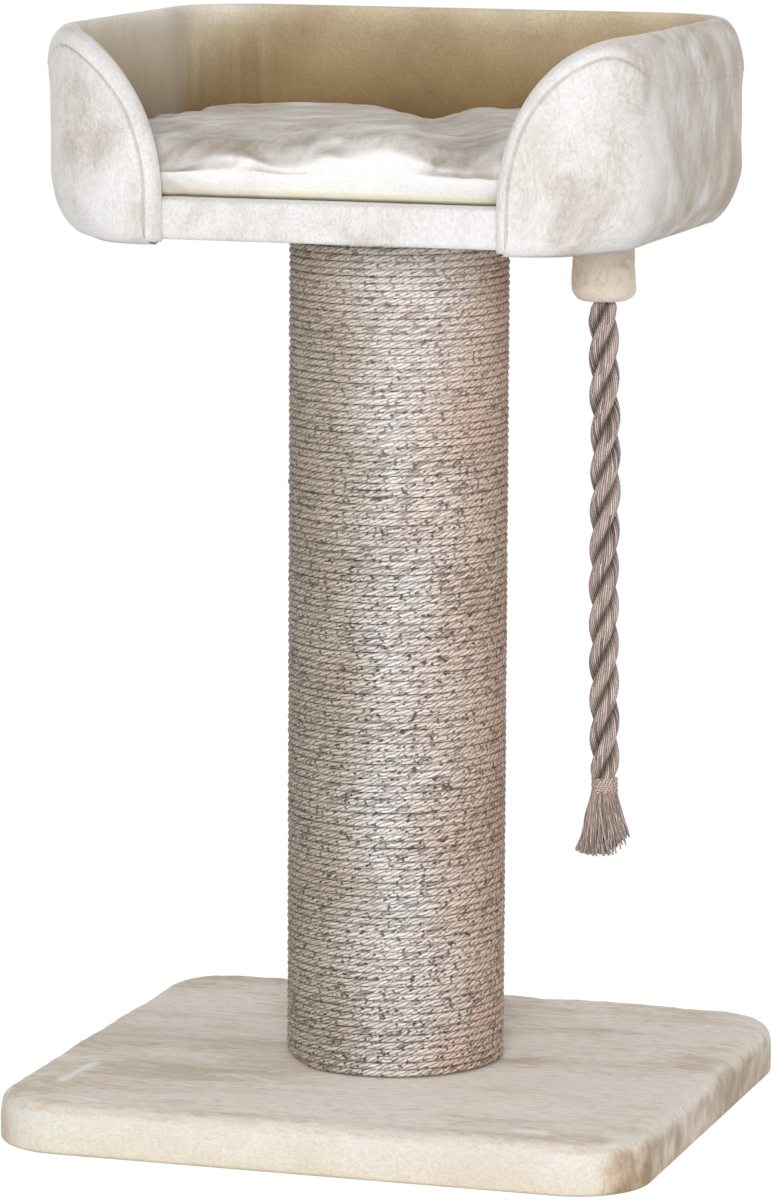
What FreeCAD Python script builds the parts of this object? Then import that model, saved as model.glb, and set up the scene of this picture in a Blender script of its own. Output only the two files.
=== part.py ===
import FreeCAD, Part
import math
import os

# Cat scratching post: a plush-covered base, a rope-wound post, a sofa-shaped bed with a loose cushion,
# and a rope toy that hangs from a plush boss under the bed.
# Millimetres, +Z up. The origin is the centre of the base's underside, on the post's axis.
# The open front of the bed faces -Y, and the toy hangs at +X.

Vector = FreeCAD.Vector

# Fits
seat_gap = 0.25
bolt_clearance = 0.5
thread_clearance = 0.05
cut_overrun = 5.0
near = 0.01

# Base
base_width = 605.0
base_depth = 570.0
base_corner_radius = 70.0
base_board_thickness = 40.0
base_plush = 3.5
base_top_round = 14.0
base_foot_round = 3.0
hem_width = 50.0

# Hem staples
staple_width = 11.0
staple_wire = 1.2
staple_leg = 9.0
staple_sink = 0.8
staple_pitch = 95.0

# Post
tube_diameter = 187.7
tube_wall = 9.0
post_length = 768.0
plug_thickness = 30.0
sisal_diameter = 5.9
sisal_pitch = 6.4
end_turns = 12

# Nails that hold the plugs in the tube
nail_diameter = 2.4
nail_head_diameter = 6.0
nail_head_thickness = 1.2
nail_length = 28.0
nail_sink = 0.6
nail_count = 6

# Bolts, washers and tee nuts
bolt_diameter = 8.0
bolt_count = 4
bolt_circle = 120.0
bolt_head_across = 13.0
bolt_head_height = 5.3
bolt_head_sink = 2.0
bolt_tail = 4.0
washer_diameter = 24.0
washer_thickness = 2.0
tee_flange_diameter = 22.0
tee_flange_thickness = 1.6
tee_barrel_diameter = 10.0
tee_barrel_length = 10.0

# Bed
bed_width = 566.0
bed_depth = 454.0
bed_corner_radius = 100.0
bed_height = 185.0
bed_board_thickness = 28.0
bed_plush = 4.0
bed_foot_round = 30.0
wall_outer_pad = 14.0
wall_panel_thickness = 7.0
wall_lining = 7.0
wall_rim_cover = 9.0
wall_panel_foot = 18.0
rim_round_share = 0.44
opening_width = 307.0
arm_run_share = 0.965

# Screws that hold the wall panel to the bed board
screw_diameter = 4.0
screw_length = 40.0
screw_head_diameter = 8.0
screw_head_height = 3.2
screw_side_shares = (-0.7, 0.0, 0.7)
screw_back_shares = (-0.75, -0.25, 0.25, 0.75)

# Cushion
cushion_thickness = 57.0
cushion_gap = 3.0
cushion_crown_run = 110.0
cushion_skin = 3.0
cushion_shoulder_share = 0.53
cushion_profile_shares = (
    (0.0, 0.13),
    (0.08, 0.04),
    (0.28, 0.0),
    (0.52, 0.03),
    (0.76, 0.17),
    (0.92, 0.52),
    (1.0, 1.0),
)
cushion_corner_share = 0.55
cushion_front_share = 0.75

# Rope toy
boss_core_diameter = 49.0
boss_plush = 4.0
boss_height = 62.0
boss_round = 11.0
stud_grip = 22.0
rope_diameter = 27.4
rope_socket_depth = 26.0
rope_length = 434.0
rope_flex_drop = 8.0
rope_flex_gap = 0.3
rope_collar = 4.0
whip_neck_diameter = 20.4
whip_twine = 2.0
whip_pitch = 2.6
whip_turns = 5
tassel_length = 55.0
tassel_spread = 50.0
tassel_slant = 16.0
tassel_belly_shares = (0.62, 0.5)

# Heights and radii that follow from the sizes above
base_height = base_board_thickness + 2 * base_plush
tube_radius = tube_diameter / 2
tube_bore_radius = tube_radius - tube_wall
post_radius = tube_radius + seat_gap + sisal_diameter
bed_bottom = base_height + post_length
platform_top = bed_bottom + bed_board_thickness + 2 * bed_plush
rim_top = bed_bottom + bed_height
wall_thickness = wall_outer_pad + wall_panel_thickness + wall_lining
board_inset = wall_outer_pad + wall_panel_thickness + seat_gap
inner_half_width = bed_width / 2 - wall_thickness
inner_half_depth = bed_depth / 2 - wall_thickness
opening_half = opening_width / 2
arm_run = (inner_half_width - opening_half) * arm_run_share
rim_round = wall_thickness * rim_round_share
bolt_radius = bolt_diameter / 2
head_depth = washer_thickness + bolt_head_height + bolt_head_sink
boss_x = (post_radius + bed_width / 2) / 2
boss_bottom = bed_bottom - boss_height
rope_radius = rope_diameter / 2
flex_z = boss_bottom - rope_flex_drop
flex_ball = rope_radius - rope_flex_gap
rope_end_z = boss_bottom - rope_length


def rounded_plan(width, depth, radius, z):
    """A face in the shape of a rectangle with round corners, at height z."""
    half_w = width / 2
    half_d = depth / 2
    bulge = radius * (1 - math.sqrt(0.5))
    ends = [
        Vector(-half_w + radius, -half_d, z),
        Vector(half_w - radius, -half_d, z),
        Vector(half_w, -half_d + radius, z),
        Vector(half_w, half_d - radius, z),
        Vector(half_w - radius, half_d, z),
        Vector(-half_w + radius, half_d, z),
        Vector(-half_w, half_d - radius, z),
        Vector(-half_w, -half_d + radius, z),
    ]
    middles = [
        Vector(half_w - bulge, -half_d + bulge, z),
        Vector(half_w - bulge, half_d - bulge, z),
        Vector(-half_w + bulge, half_d - bulge, z),
        Vector(-half_w + bulge, -half_d + bulge, z),
    ]
    edges = []
    for corner in range(4):
        start = ends[2 * corner]
        turn = ends[2 * corner + 1]
        after = ends[(2 * corner + 2) % len(ends)]
        edges.append(Part.LineSegment(start, turn).toShape())
        edges.append(Part.Arc(turn, middles[corner], after).toShape())
    return Part.Face(Part.Wire(edges))


def base_prism(inset, low, high):
    """The base's outline, drawn in by inset, between two heights."""
    face = rounded_plan(base_width - 2 * inset, base_depth - 2 * inset, base_corner_radius - inset, low)
    return face.extrude(Vector(0, 0, high - low))


def bed_prism(inset, low, high):
    """The bed's outline, drawn in by inset, between two heights."""
    face = rounded_plan(bed_width - 2 * inset, bed_depth - 2 * inset, bed_corner_radius - inset, low)
    return face.extrude(Vector(0, 0, high - low))


def edges_at(shape, z):
    """The edges of a shape that lie flat at height z."""
    return [edge for edge in shape.Edges if all(abs(v.Z - z) < near for v in edge.Vertexes)]


def cylinder(radius, x, y, low, high):
    """An upright cylinder between two heights."""
    return Part.makeCylinder(radius, high - low, Vector(x, y, low))


def bolt_places():
    """Centres of the bolts on their circle, turned half a step from the X axis."""
    places = []
    for index in range(bolt_count):
        angle = 2 * math.pi * (index + 0.5) / bolt_count
        places.append((bolt_circle / 2 * math.cos(angle), bolt_circle / 2 * math.sin(angle)))
    return places


def staple_places():
    """Centre and direction of each staple along the middle of the hem."""
    half_w = base_width / 2 - hem_width / 2
    half_d = base_depth / 2 - hem_width / 2
    run_x = base_width - 2 * base_corner_radius
    run_y = base_depth - 2 * base_corner_radius
    count_x = int(run_x // staple_pitch)
    count_y = int(run_y // staple_pitch)
    places = []
    for index in range(count_x):
        x = run_x * ((index + 0.5) / count_x - 0.5)
        places.append((x, -half_d, 0))
        places.append((x, half_d, 0))
    for index in range(count_y):
        y = run_y * ((index + 0.5) / count_y - 0.5)
        places.append((-half_w, y, 90))
        places.append((half_w, y, 90))
    return places


def make_staples():
    """The U-shaped staples that hold the turned-under hem to the base board."""
    half = staple_width / 2
    crown = Part.makeBox(staple_width, staple_wire, staple_wire, Vector(-half, -staple_wire / 2, staple_sink))
    left = Part.makeBox(staple_wire, staple_wire, staple_leg, Vector(-half, -staple_wire / 2, staple_sink))
    right = Part.makeBox(
        staple_wire, staple_wire, staple_leg, Vector(half - staple_wire, -staple_wire / 2, staple_sink)
    )
    staple = crown.fuse([left, right]).removeSplitter()
    staples = []
    for x, y, turn in staple_places():
        piece = staple.copy()
        piece.rotate(Vector(0, 0, 0), Vector(0, 0, 1), turn)
        piece.translate(Vector(x, y, 0))
        staples.append(piece)
    return Part.makeCompound(staples)


def make_base_board(staples):
    """The board inside the base, with counterbored bolt holes from below."""
    board = base_prism(base_plush + seat_gap, base_plush, base_plush + base_board_thickness)
    top_edges = edges_at(board, base_plush + base_board_thickness)
    board = board.makeFillet(base_top_round - base_plush, top_edges)
    for x, y in bolt_places():
        recess = cylinder(washer_diameter / 2 + bolt_clearance, x, y, 0, base_plush + head_depth)
        hole = cylinder(bolt_radius + bolt_clearance, x, y, 0, base_height)
        board = board.cut(recess).cut(hole)
    return board.cut(staples)


def make_base_cover(staples):
    """The plush over the base's top and sides, turned under the board as a hem."""
    cover = base_prism(0, 0, base_height)
    cover = cover.makeFillet(base_top_round, edges_at(cover, base_height))
    cover = cover.makeFillet(base_foot_round, edges_at(cover, 0))
    hollow = base_prism(base_plush, base_plush, base_plush + base_board_thickness)
    hollow_edges = edges_at(hollow, base_plush + base_board_thickness)
    hollow = hollow.makeFillet(base_top_round - base_plush, hollow_edges)
    window = base_prism(hem_width, -cut_overrun, base_plush + cut_overrun)
    cover = cover.cut(hollow).cut(window)
    for x, y in bolt_places():
        cover = cover.cut(cylinder(bolt_radius + bolt_clearance, x, y, base_plush, base_height + cut_overrun))
    return cover.cut(staples)


def make_bolt(seat_z, tip_z):
    """A hexagon-headed bolt on the Z axis: its washer lies at seat_z, and its tip is at tip_z."""
    way = 1 if tip_z > seat_z else -1
    under_head = seat_z - way * washer_thickness
    corner = bolt_head_across / math.sqrt(3)
    points = []
    for index in range(7):
        angle = math.pi * index / 3
        points.append(Vector(corner * math.cos(angle), corner * math.sin(angle), under_head))
    head = Part.Face(Part.makePolygon(points)).extrude(Vector(0, 0, -way * bolt_head_height))
    shank = cylinder(bolt_radius, 0, 0, min(under_head, tip_z), max(under_head, tip_z))
    return head.fuse(shank).removeSplitter()


def make_washer(seat_z, way):
    """A flat washer against the seat at seat_z, on the side that the bolt's head is."""
    low = min(seat_z, seat_z - way * washer_thickness)
    ring = cylinder(washer_diameter / 2, 0, 0, low, low + washer_thickness)
    return ring.cut(cylinder(bolt_radius + thread_clearance, 0, 0, low - cut_overrun, seat_z + cut_overrun))


def make_tee_nut(face_z, way):
    """A tee nut: its flange lies on the face at face_z, and its barrel goes the way given."""
    flange_low = min(face_z, face_z - way * tee_flange_thickness)
    flange = cylinder(tee_flange_diameter / 2, 0, 0, flange_low, flange_low + tee_flange_thickness)
    barrel_end = face_z + way * tee_barrel_length
    barrel = cylinder(tee_barrel_diameter / 2, 0, 0, min(face_z, barrel_end), max(face_z, barrel_end))
    thread = cylinder(
        bolt_radius + thread_clearance, 0, 0, flange_low - tee_barrel_length - cut_overrun,
        flange_low + tee_barrel_length + tee_flange_thickness + cut_overrun
    )
    return flange.fuse(barrel).removeSplitter().cut(thread)


def on_bolt_circle(shape):
    """One copy of a shape for each bolt."""
    copies = []
    for x, y in bolt_places():
        piece = shape.copy()
        piece.translate(Vector(x, y, 0))
        copies.append(piece)
    return Part.makeCompound(copies)


def nail_shapes(mid_z, grow):
    """Radial nails at one height, from under the tube's surface into the plug; grow is for their holes."""
    head_radius = nail_head_diameter / 2 + grow
    outer = tube_radius - nail_sink
    tip = outer - nail_length - grow
    nails = []
    for index in range(nail_count):
        angle = 360 * index / nail_count
        head = Part.makeCylinder(
            head_radius, nail_head_thickness + grow, Vector(outer - nail_head_thickness - grow, 0, mid_z),
            Vector(1, 0, 0)
        )
        start = Vector(tip, 0, mid_z)
        shank = Part.makeCylinder(nail_diameter / 2 + grow, outer - tip, start, Vector(1, 0, 0))
        nail = head.fuse(shank).removeSplitter()
        nail.rotate(Vector(0, 0, 0), Vector(0, 0, 1), angle)
        nails.append(nail)
    return nails


def nail_heights():
    """The heights of the two rings of nails, halfway up each plug."""
    return (base_height + plug_thickness / 2, bed_bottom - plug_thickness / 2)


def nail_bores():
    """Straight bores that clear the nail heads out to the tube's surface."""
    bores = []
    for mid_z in nail_heights():
        bores.extend(nail_shapes(mid_z, thread_clearance))
        for index in range(nail_count):
            bore = Part.makeCylinder(
                nail_head_diameter / 2 + thread_clearance, cut_overrun,
                Vector(tube_radius - nail_sink, 0, mid_z), Vector(1, 0, 0)
            )
            bore.rotate(Vector(0, 0, 0), Vector(0, 0, 1), 360 * index / nail_count)
            bores.append(bore)
    return Part.makeCompound(bores)


def make_post_tube():
    """The thick paper tube that the rope is wound on."""
    tube = cylinder(tube_radius, 0, 0, base_height, bed_bottom)
    tube = tube.cut(cylinder(tube_bore_radius, 0, 0, base_height - cut_overrun, bed_bottom + cut_overrun))
    return tube.cut(nail_bores())


def make_plug(low, way):
    """A round wooden plug for one end of the tube; way points from its outer face to its tee nuts."""
    plug = cylinder(tube_bore_radius - seat_gap, 0, 0, low, low + plug_thickness)
    nut_face = low + plug_thickness if way > 0 else low
    for x, y in bolt_places():
        nut_end = nut_face - way * (tee_barrel_length + thread_clearance)
        barrel = cylinder(
            tee_barrel_diameter / 2 + thread_clearance, x, y, min(nut_face, nut_end), max(nut_face, nut_end)
        )
        hole_high = low + plug_thickness + cut_overrun
        hole = cylinder(bolt_radius + bolt_clearance, x, y, low - cut_overrun, hole_high)
        plug = plug.cut(barrel).cut(hole)
    return plug.cut(nail_bores())


def arc_between(start, control, end):
    """The circular arc that leaves start towards control and reaches end from control."""
    middle = (start + end) * 0.5
    half_chord = (end - start).Length / 2
    offset = control - middle
    leg = (control - start).Length
    radius = half_chord * leg / offset.Length
    rise = radius - math.sqrt(radius * radius - half_chord * half_chord)
    return Part.Arc(start, middle + offset * (rise / offset.Length), end).toShape()


def biarc(start, start_way, end, end_way):
    """Two arcs that run smoothly from one point and direction to another."""
    span = end - start
    ways = start_way + end_way
    a = ways.dot(ways) - 4
    b = -2 * span.dot(ways)
    c = span.dot(span)
    reach = (-b - math.sqrt(b * b - 4 * a * c)) / (2 * a)
    if reach < 0:
        reach = (-b + math.sqrt(b * b - 4 * a * c)) / (2 * a)
    first = start + start_way * reach
    second = end - end_way * reach
    joint = (first + second) * 0.5
    return [arc_between(start, first, joint), arc_between(joint, second, end)]


def make_turns(radius, pitch, wire, turns, low_z, x, y, label):
    """One unbroken wound tube: quarter turns of two arcs each, with straight ends one diameter long."""
    slope = pitch / (2 * math.pi * radius)
    points = []
    ways = []
    for step in range(4 * turns + 1):
        angle = math.pi * step / 2
        points.append(
            Vector(x + radius * math.cos(angle), y + radius * math.sin(angle), low_z + pitch * step / 4)
        )
        way = Vector(-math.sin(angle), math.cos(angle), slope)
        ways.append(way.normalize())
    edges = [Part.LineSegment(points[0] - ways[0] * wire, points[0]).toShape()]
    for step in range(4 * turns):
        edges.extend(biarc(points[step], ways[step], points[step + 1], ways[step + 1]))
    edges.append(Part.LineSegment(points[-1], points[-1] + ways[-1] * wire).toShape())
    path = Part.Wire(edges)
    ring = Part.Wire([Part.Circle(points[0] - ways[0] * wire, ways[0], wire / 2).toShape()])
    tube = path.makePipeShell([ring], True, False)
    print_turn_gap(edges, wire, label)
    return tube


def print_turn_gap(edges, wire, label):
    """Prints the least gap between a wound tube and its own next turns, measured on points."""
    steps = 12
    points = []
    for edge in edges[1:-1]:
        points.extend(edge.discretize(steps))
    per_turn = 8 * steps
    least = None
    for index in range(len(points) - per_turn // 2):
        for other in range(index + per_turn // 2, min(index + 2 * per_turn, len(points))):
            gap = (points[index] - points[other]).Length - wire
            if least is None or gap < least:
                least = gap
    print(label, "least gap to itself", round(least, 3))


def sisal_first_z():
    """Height of the middle of the lowest turn's start."""
    return base_height + sisal_diameter / 2 + seat_gap


def make_sisal_turns(low_z, label):
    """The drawn turns of the sisal rope at one end of the post."""
    radius = tube_radius + seat_gap + sisal_diameter / 2
    return make_turns(radius, sisal_pitch, sisal_diameter, end_turns, low_z, 0, 0, label)


def make_sisal_sleeve():
    """The middle of the rope winding as a plain sleeve, between the turns drawn at each end."""
    drawn = end_turns * sisal_pitch + sisal_diameter / 2 + 2 * seat_gap
    low = sisal_first_z() + drawn
    high = bed_bottom - (low - base_height)
    sleeve = cylinder(post_radius, 0, 0, low, high)
    return sleeve.cut(cylinder(tube_radius + seat_gap, 0, 0, low - cut_overrun, high + cut_overrun))


def bed_envelope(inset):
    """The whole bed's outside, drawn in by inset, with its rounded foot."""
    block = bed_prism(inset, bed_bottom + inset, rim_top + cut_overrun)
    return block.makeFillet(bed_foot_round - inset, edges_at(block, bed_bottom + inset))


def arm_curve(side, inset):
    """Quarter ellipse along the top of one arm, in the plane of X and height."""
    unit = Part.Arc(Vector(-1, 0, 0), Vector(-math.sqrt(0.5), math.sqrt(0.5), 0), Vector(0, 1, 0)).toShape()
    stretch = FreeCAD.Matrix()
    stretch.scale(Vector(side * (arm_run - inset), rim_top - inset - platform_top, 1))
    curve = unit.transformGeometry(stretch)
    curve.translate(Vector(side * (opening_half + arm_run), platform_top, 0))
    return curve


def rim_cutter(inset):
    """What is taken off above the rim and between the arms; inset lowers the rim and draws the arms back."""
    half = opening_half + inset
    top = rim_top - inset
    arm_end = opening_half + arm_run
    far = bed_width
    low = bed_bottom - cut_overrun
    high = rim_top + 2 * cut_overrun
    corners = [
        (arm_end, top), (far, top), (far, high), (-far, high), (-far, top), (-arm_end, top),
    ]
    feet = [(-half, platform_top), (-half, low), (half, low), (half, platform_top)]
    edges = [arm_curve(1, inset), arm_curve(-1, inset)]
    for chain in (corners, feet):
        for start, end in zip(chain[:-1], chain[1:]):
            edges.append(Part.LineSegment(Vector(start[0], start[1], 0), Vector(end[0], end[1], 0)).toShape())
    face = Part.Face(Part.Wire(Part.__sortEdges__(edges)))
    face.rotate(Vector(0, 0, 0), Vector(1, 0, 0), 90)
    front = face.extrude(Vector(0, -bed_depth, 0))
    back = Part.makeBox(2 * far, bed_depth, high - top, Vector(-far, 0, top))
    return front.fuse(back).removeSplitter()


def plan_inset(point):
    """How far a point lies inside the bed's outline."""
    out_x = abs(point.x) - (bed_width / 2 - bed_corner_radius)
    out_y = abs(point.y) - (bed_depth / 2 - bed_corner_radius)
    if out_x > 0 and out_y > 0:
        return bed_corner_radius - math.hypot(out_x, out_y)
    return min(bed_width / 2 - abs(point.x), bed_depth / 2 - abs(point.y))


def rim_edges(shape, cutter, inset):
    """The edges of the rim and the arms' ends on the side of the wall that lies at inset."""
    found = []
    for edge in shape.Edges:
        points = edge.discretize(7)
        if not all(abs(plan_inset(point) - inset) < near for point in points):
            continue
        if cutter.isInside(points[3], near, True):
            found.append(edge)
    return found


def make_wall_block():
    """The padded wall as one block, with rounded rim and arms, before it is parted into its layers."""
    cutter = rim_cutter(0)
    ring = bed_envelope(0).cut(bed_prism(wall_thickness, bed_bottom - cut_overrun, rim_top + 2 * cut_overrun))
    ring = ring.cut(cutter).removeSplitter()
    edges = rim_edges(ring, cutter, 0) + rim_edges(ring, cutter, wall_thickness)
    return ring.makeFillet(rim_round, edges)


def screw_places():
    """Start point and direction of each wall screw, on the outer face of the panel."""
    face_x = bed_width / 2 - wall_outer_pad
    face_y = bed_depth / 2 - wall_outer_pad
    straight_x = bed_width / 2 - bed_corner_radius
    straight_y = bed_depth / 2 - bed_corner_radius
    z = panel_foot() + (bed_bottom + bed_plush + bed_board_thickness - panel_foot()) / 2
    places = []
    for share in screw_side_shares:
        places.append((Vector(-face_x, straight_y * share, z), Vector(1, 0, 0)))
        places.append((Vector(face_x, straight_y * share, z), Vector(-1, 0, 0)))
    for share in screw_back_shares:
        places.append((Vector(straight_x * share, face_y, z), Vector(0, -1, 0)))
    slant = math.sqrt(0.5)
    reach = (bed_corner_radius - wall_outer_pad) * slant
    corner_x = straight_x + reach
    corner_y = -straight_y - reach
    places.append((Vector(-corner_x, corner_y, z), Vector(slant, slant, 0)))
    places.append((Vector(corner_x, corner_y, z), Vector(-slant, slant, 0)))
    return places


def make_screws(grow):
    """The countersunk screws through the panel into the board's edge; grow is for their holes."""
    shank = screw_diameter / 2 + grow
    head = screw_head_diameter / 2 + grow
    screws = []
    for place, way in screw_places():
        start = place + way * (seat_gap - grow)
        cone = Part.makeCone(head, shank, screw_head_height, start, way)
        body_length = screw_length + 2 * grow - screw_head_height
        body = Part.makeCylinder(shank, body_length, start + way * screw_head_height, way)
        screws.append(cone.fuse(body).removeSplitter())
    return Part.makeCompound(screws)


def panel_foot():
    """Height of the wall panel's lower edge, above the rounded foot of the wall."""
    return bed_bottom + wall_panel_foot


def make_wall_panel():
    """The bent panel that stiffens the wall, cut to the arms' curve and drilled for its screws."""
    outer = wall_outer_pad + seat_gap
    inner = wall_outer_pad + wall_panel_thickness
    panel = bed_prism(outer, panel_foot(), rim_top)
    panel = panel.cut(bed_prism(inner, panel_foot() - cut_overrun, rim_top + cut_overrun))
    panel = panel.cut(rim_cutter(wall_rim_cover))
    return panel.cut(make_screws(thread_clearance))


def make_wall_cover(block):
    """The padded plush on the outside of the wall, with its lip under the panel."""
    inside = bed_prism(wall_outer_pad, panel_foot() - seat_gap, rim_top + cut_overrun)
    below = bed_prism(board_inset - seat_gap, bed_bottom - cut_overrun, panel_foot())
    return block.cut(inside).cut(below)


def make_wall_lining(block):
    """The padded lining inside the wall, which wraps over the panel's rim and the arms' ends."""
    zone = bed_prism(wall_outer_pad + seat_gap, panel_foot(), rim_top + cut_overrun)
    lining = block.common(zone)
    below = bed_prism(board_inset - seat_gap, panel_foot() - cut_overrun, platform_top + seat_gap)
    pocket = bed_prism(wall_outer_pad, panel_foot() - cut_overrun, rim_top)
    inner = wall_outer_pad + wall_panel_thickness + seat_gap
    pocket = pocket.cut(bed_prism(inner, panel_foot() - 2 * cut_overrun, rim_top + cut_overrun))
    pocket = pocket.cut(rim_cutter(wall_rim_cover - seat_gap))
    return lining.cut(below).cut(pocket)


def platform_front():
    """Depth of the platform's front face, between the arms."""
    return -(bed_depth / 2 - board_inset) - bed_plush


def make_bed_board():
    """The board under the bed, with holes for the post's bolts, the wall screws and the toy's tee nut."""
    low = bed_bottom + bed_plush
    high = low + bed_board_thickness
    board = bed_prism(board_inset, low, high).common(bed_envelope(bed_plush))
    for x, y in bolt_places():
        recess = cylinder(washer_diameter / 2 + bolt_clearance, x, y, high - head_depth, high + cut_overrun)
        hole = cylinder(bolt_radius + bolt_clearance, x, y, low - cut_overrun, high)
        board = board.cut(recess).cut(hole)
    flange = cylinder(
        tee_flange_diameter / 2 + thread_clearance, boss_x, 0, high - tee_flange_thickness, high + cut_overrun
    )
    nut_low = high - tee_flange_thickness - tee_barrel_length - thread_clearance
    barrel = cylinder(tee_barrel_diameter / 2 + thread_clearance, boss_x, 0, nut_low, high)
    hole = cylinder(bolt_radius + bolt_clearance, boss_x, 0, low - cut_overrun, high)
    board = board.cut(flange).cut(barrel).cut(hole)
    return board.cut(make_screws(thread_clearance))


def make_bed_cover():
    """The plush wrapped round the bed board: over its top, round its front edge and along its underside."""
    front = platform_front()
    lip_half = opening_half - seat_gap
    wrap = bed_prism(board_inset, bed_bottom, platform_top)
    lip = Part.makeBox(
        2 * lip_half, bed_depth / 2, platform_top - bed_bottom, Vector(-lip_half, front, bed_bottom)
    )
    lip_edges = [edge for edge in lip.Edges if abs(edge.CenterOfMass.y - front) < near]
    lip_edges = [edge for edge in lip_edges if edge.BoundBox.XLength > lip_half]
    lip = lip.makeFillet(bed_plush, lip_edges)
    wrap = wrap.fuse(lip).removeSplitter().common(bed_envelope(0))
    low = bed_bottom + bed_plush
    high = low + bed_board_thickness
    hollow = bed_prism(board_inset, low, high)
    wrap = wrap.cut(hollow)
    for x, y in bolt_places():
        opening_radius = washer_diameter / 2 + bolt_clearance
        opening = cylinder(opening_radius, x, y, high - cut_overrun, platform_top + cut_overrun)
        hole = cylinder(bolt_radius + bolt_clearance, x, y, bed_bottom - cut_overrun, low + cut_overrun)
        wrap = wrap.cut(opening).cut(hole)
    stud_hole = cylinder(bolt_radius + bolt_clearance, boss_x, 0, bed_bottom - cut_overrun, low + cut_overrun)
    return wrap.cut(stud_hole)


def cushion_outline(inset, corner, front_half, z):
    """The cushion's outline at one height: it fills the bed and comes forward between the arms."""
    side = inner_half_width - cushion_gap - inset
    back = inner_half_depth - cushion_gap - inset
    front = -platform_front() - cushion_gap - inset
    bulge = corner * (1 - math.sqrt(0.5))
    shoulder = front_half + (side - corner - front_half) * cushion_shoulder_share
    right = [
        Vector(front_half, -front, z),
        Vector(shoulder, -back, z),
        Vector(side - corner, -back, z),
        Vector(side, -back + corner, z),
        Vector(side, back - corner, z),
        Vector(side - corner, back, z),
    ]
    left = [Vector(-point.x, point.y, z) for point in reversed(right)]
    points = right + left
    middles = {
        2: Vector(side - bulge, -back + bulge, z),
        4: Vector(side - bulge, back - bulge, z),
        6: Vector(-side + bulge, back - bulge, z),
        8: Vector(-side + bulge, -back + bulge, z),
    }
    edges = []
    for index, start in enumerate(points):
        end = points[(index + 1) % len(points)]
        if index in middles:
            edges.append(Part.Arc(start, middles[index], end).toShape())
        else:
            edges.append(Part.LineSegment(start, end).toShape())
    return Part.Wire(edges)


def make_cushion_body(skin):
    """The crowned cushion, drawn in by skin all round: tucked in at its foot, fullest low down, and domed."""
    low = platform_top + seat_gap + skin
    height = cushion_thickness - 2 * skin
    sections = []
    for height_share, inset_share in cushion_profile_shares:
        inset = skin + inset_share * (cushion_crown_run - skin)
        corner = (bed_corner_radius - wall_thickness - cushion_gap) * (1 - cushion_corner_share * inset_share)
        front_half = opening_half - 4 * cushion_gap - inset * cushion_front_share
        sections.append(cushion_outline(inset, corner, front_half, low + height * height_share))
    return Part.makeLoft(sections, True, False)


def make_boss_core():
    """The wooden core of the toy's boss: a socket for the rope below and a hole for the stud above."""
    low = boss_bottom + boss_plush
    core = cylinder(boss_core_diameter / 2, boss_x, 0, low, bed_bottom)
    core = core.makeFillet(boss_round - boss_plush, edges_at(core, low))
    socket_high = boss_bottom + rope_socket_depth
    core = core.cut(cylinder(rope_radius + seat_gap, boss_x, 0, low - cut_overrun, socket_high))
    hole_low = bed_bottom - stud_grip - thread_clearance
    return core.cut(cylinder(bolt_radius + thread_clearance, boss_x, 0, hole_low, bed_bottom + cut_overrun))


def make_boss_cover():
    """The plush sleeve round the boss, closed below but for the rope's mouth."""
    low = boss_bottom + boss_plush - seat_gap
    cover = cylinder(boss_core_diameter / 2 + seat_gap + boss_plush, boss_x, 0, boss_bottom, bed_bottom)
    cover = cover.makeFillet(boss_round, edges_at(cover, boss_bottom))
    hollow = cylinder(boss_core_diameter / 2 + seat_gap, boss_x, 0, low, bed_bottom + cut_overrun)
    hollow = hollow.makeFillet(boss_round - boss_plush, edges_at(hollow, low))
    mouth = cylinder(rope_radius + seat_gap, boss_x, 0, boss_bottom - cut_overrun, low + cut_overrun)
    return cover.cut(hollow).cut(mouth)


def make_boss_stud():
    """The threaded stud that screws the boss to the bed board, as a plain rod."""
    high = bed_bottom + bed_plush + bed_board_thickness - tee_flange_thickness
    return cylinder(bolt_radius, boss_x, 0, bed_bottom - stud_grip, high)


def flex_sphere(radius):
    """A ball about the point where the rope bends, just under the boss."""
    return Part.makeSphere(radius, Vector(boss_x, 0, flex_z))


def make_rope_root():
    """The end of the rope that is glued into the boss, hollowed below to let the free rope bend."""
    low = boss_bottom + rope_flex_gap
    root = cylinder(rope_radius, boss_x, 0, low, boss_bottom + rope_socket_depth - seat_gap)
    return root.cut(flex_sphere(flex_ball + rope_flex_gap))


def make_toy_rope():
    """The free rope, hanging straight: a plain tube that starts round the bending point."""
    rope = cylinder(rope_radius, boss_x, 0, rope_end_z, flex_z - rope_collar)
    return rope.cut(flex_sphere(flex_ball + rope_flex_gap))


def whip_height():
    """The height of the whipping, from its lowest turn to its highest."""
    return whip_turns * whip_pitch + whip_twine


def make_whipping():
    """The twine whipped round the rope's end, turn by turn."""
    radius = whip_neck_diameter / 2 + seat_gap + whip_twine / 2
    low_z = rope_end_z - whip_height() + whip_twine / 2 - seat_gap
    return make_turns(radius, whip_pitch, whip_twine, whip_turns, low_z, boss_x, 0, "whipping")


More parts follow.
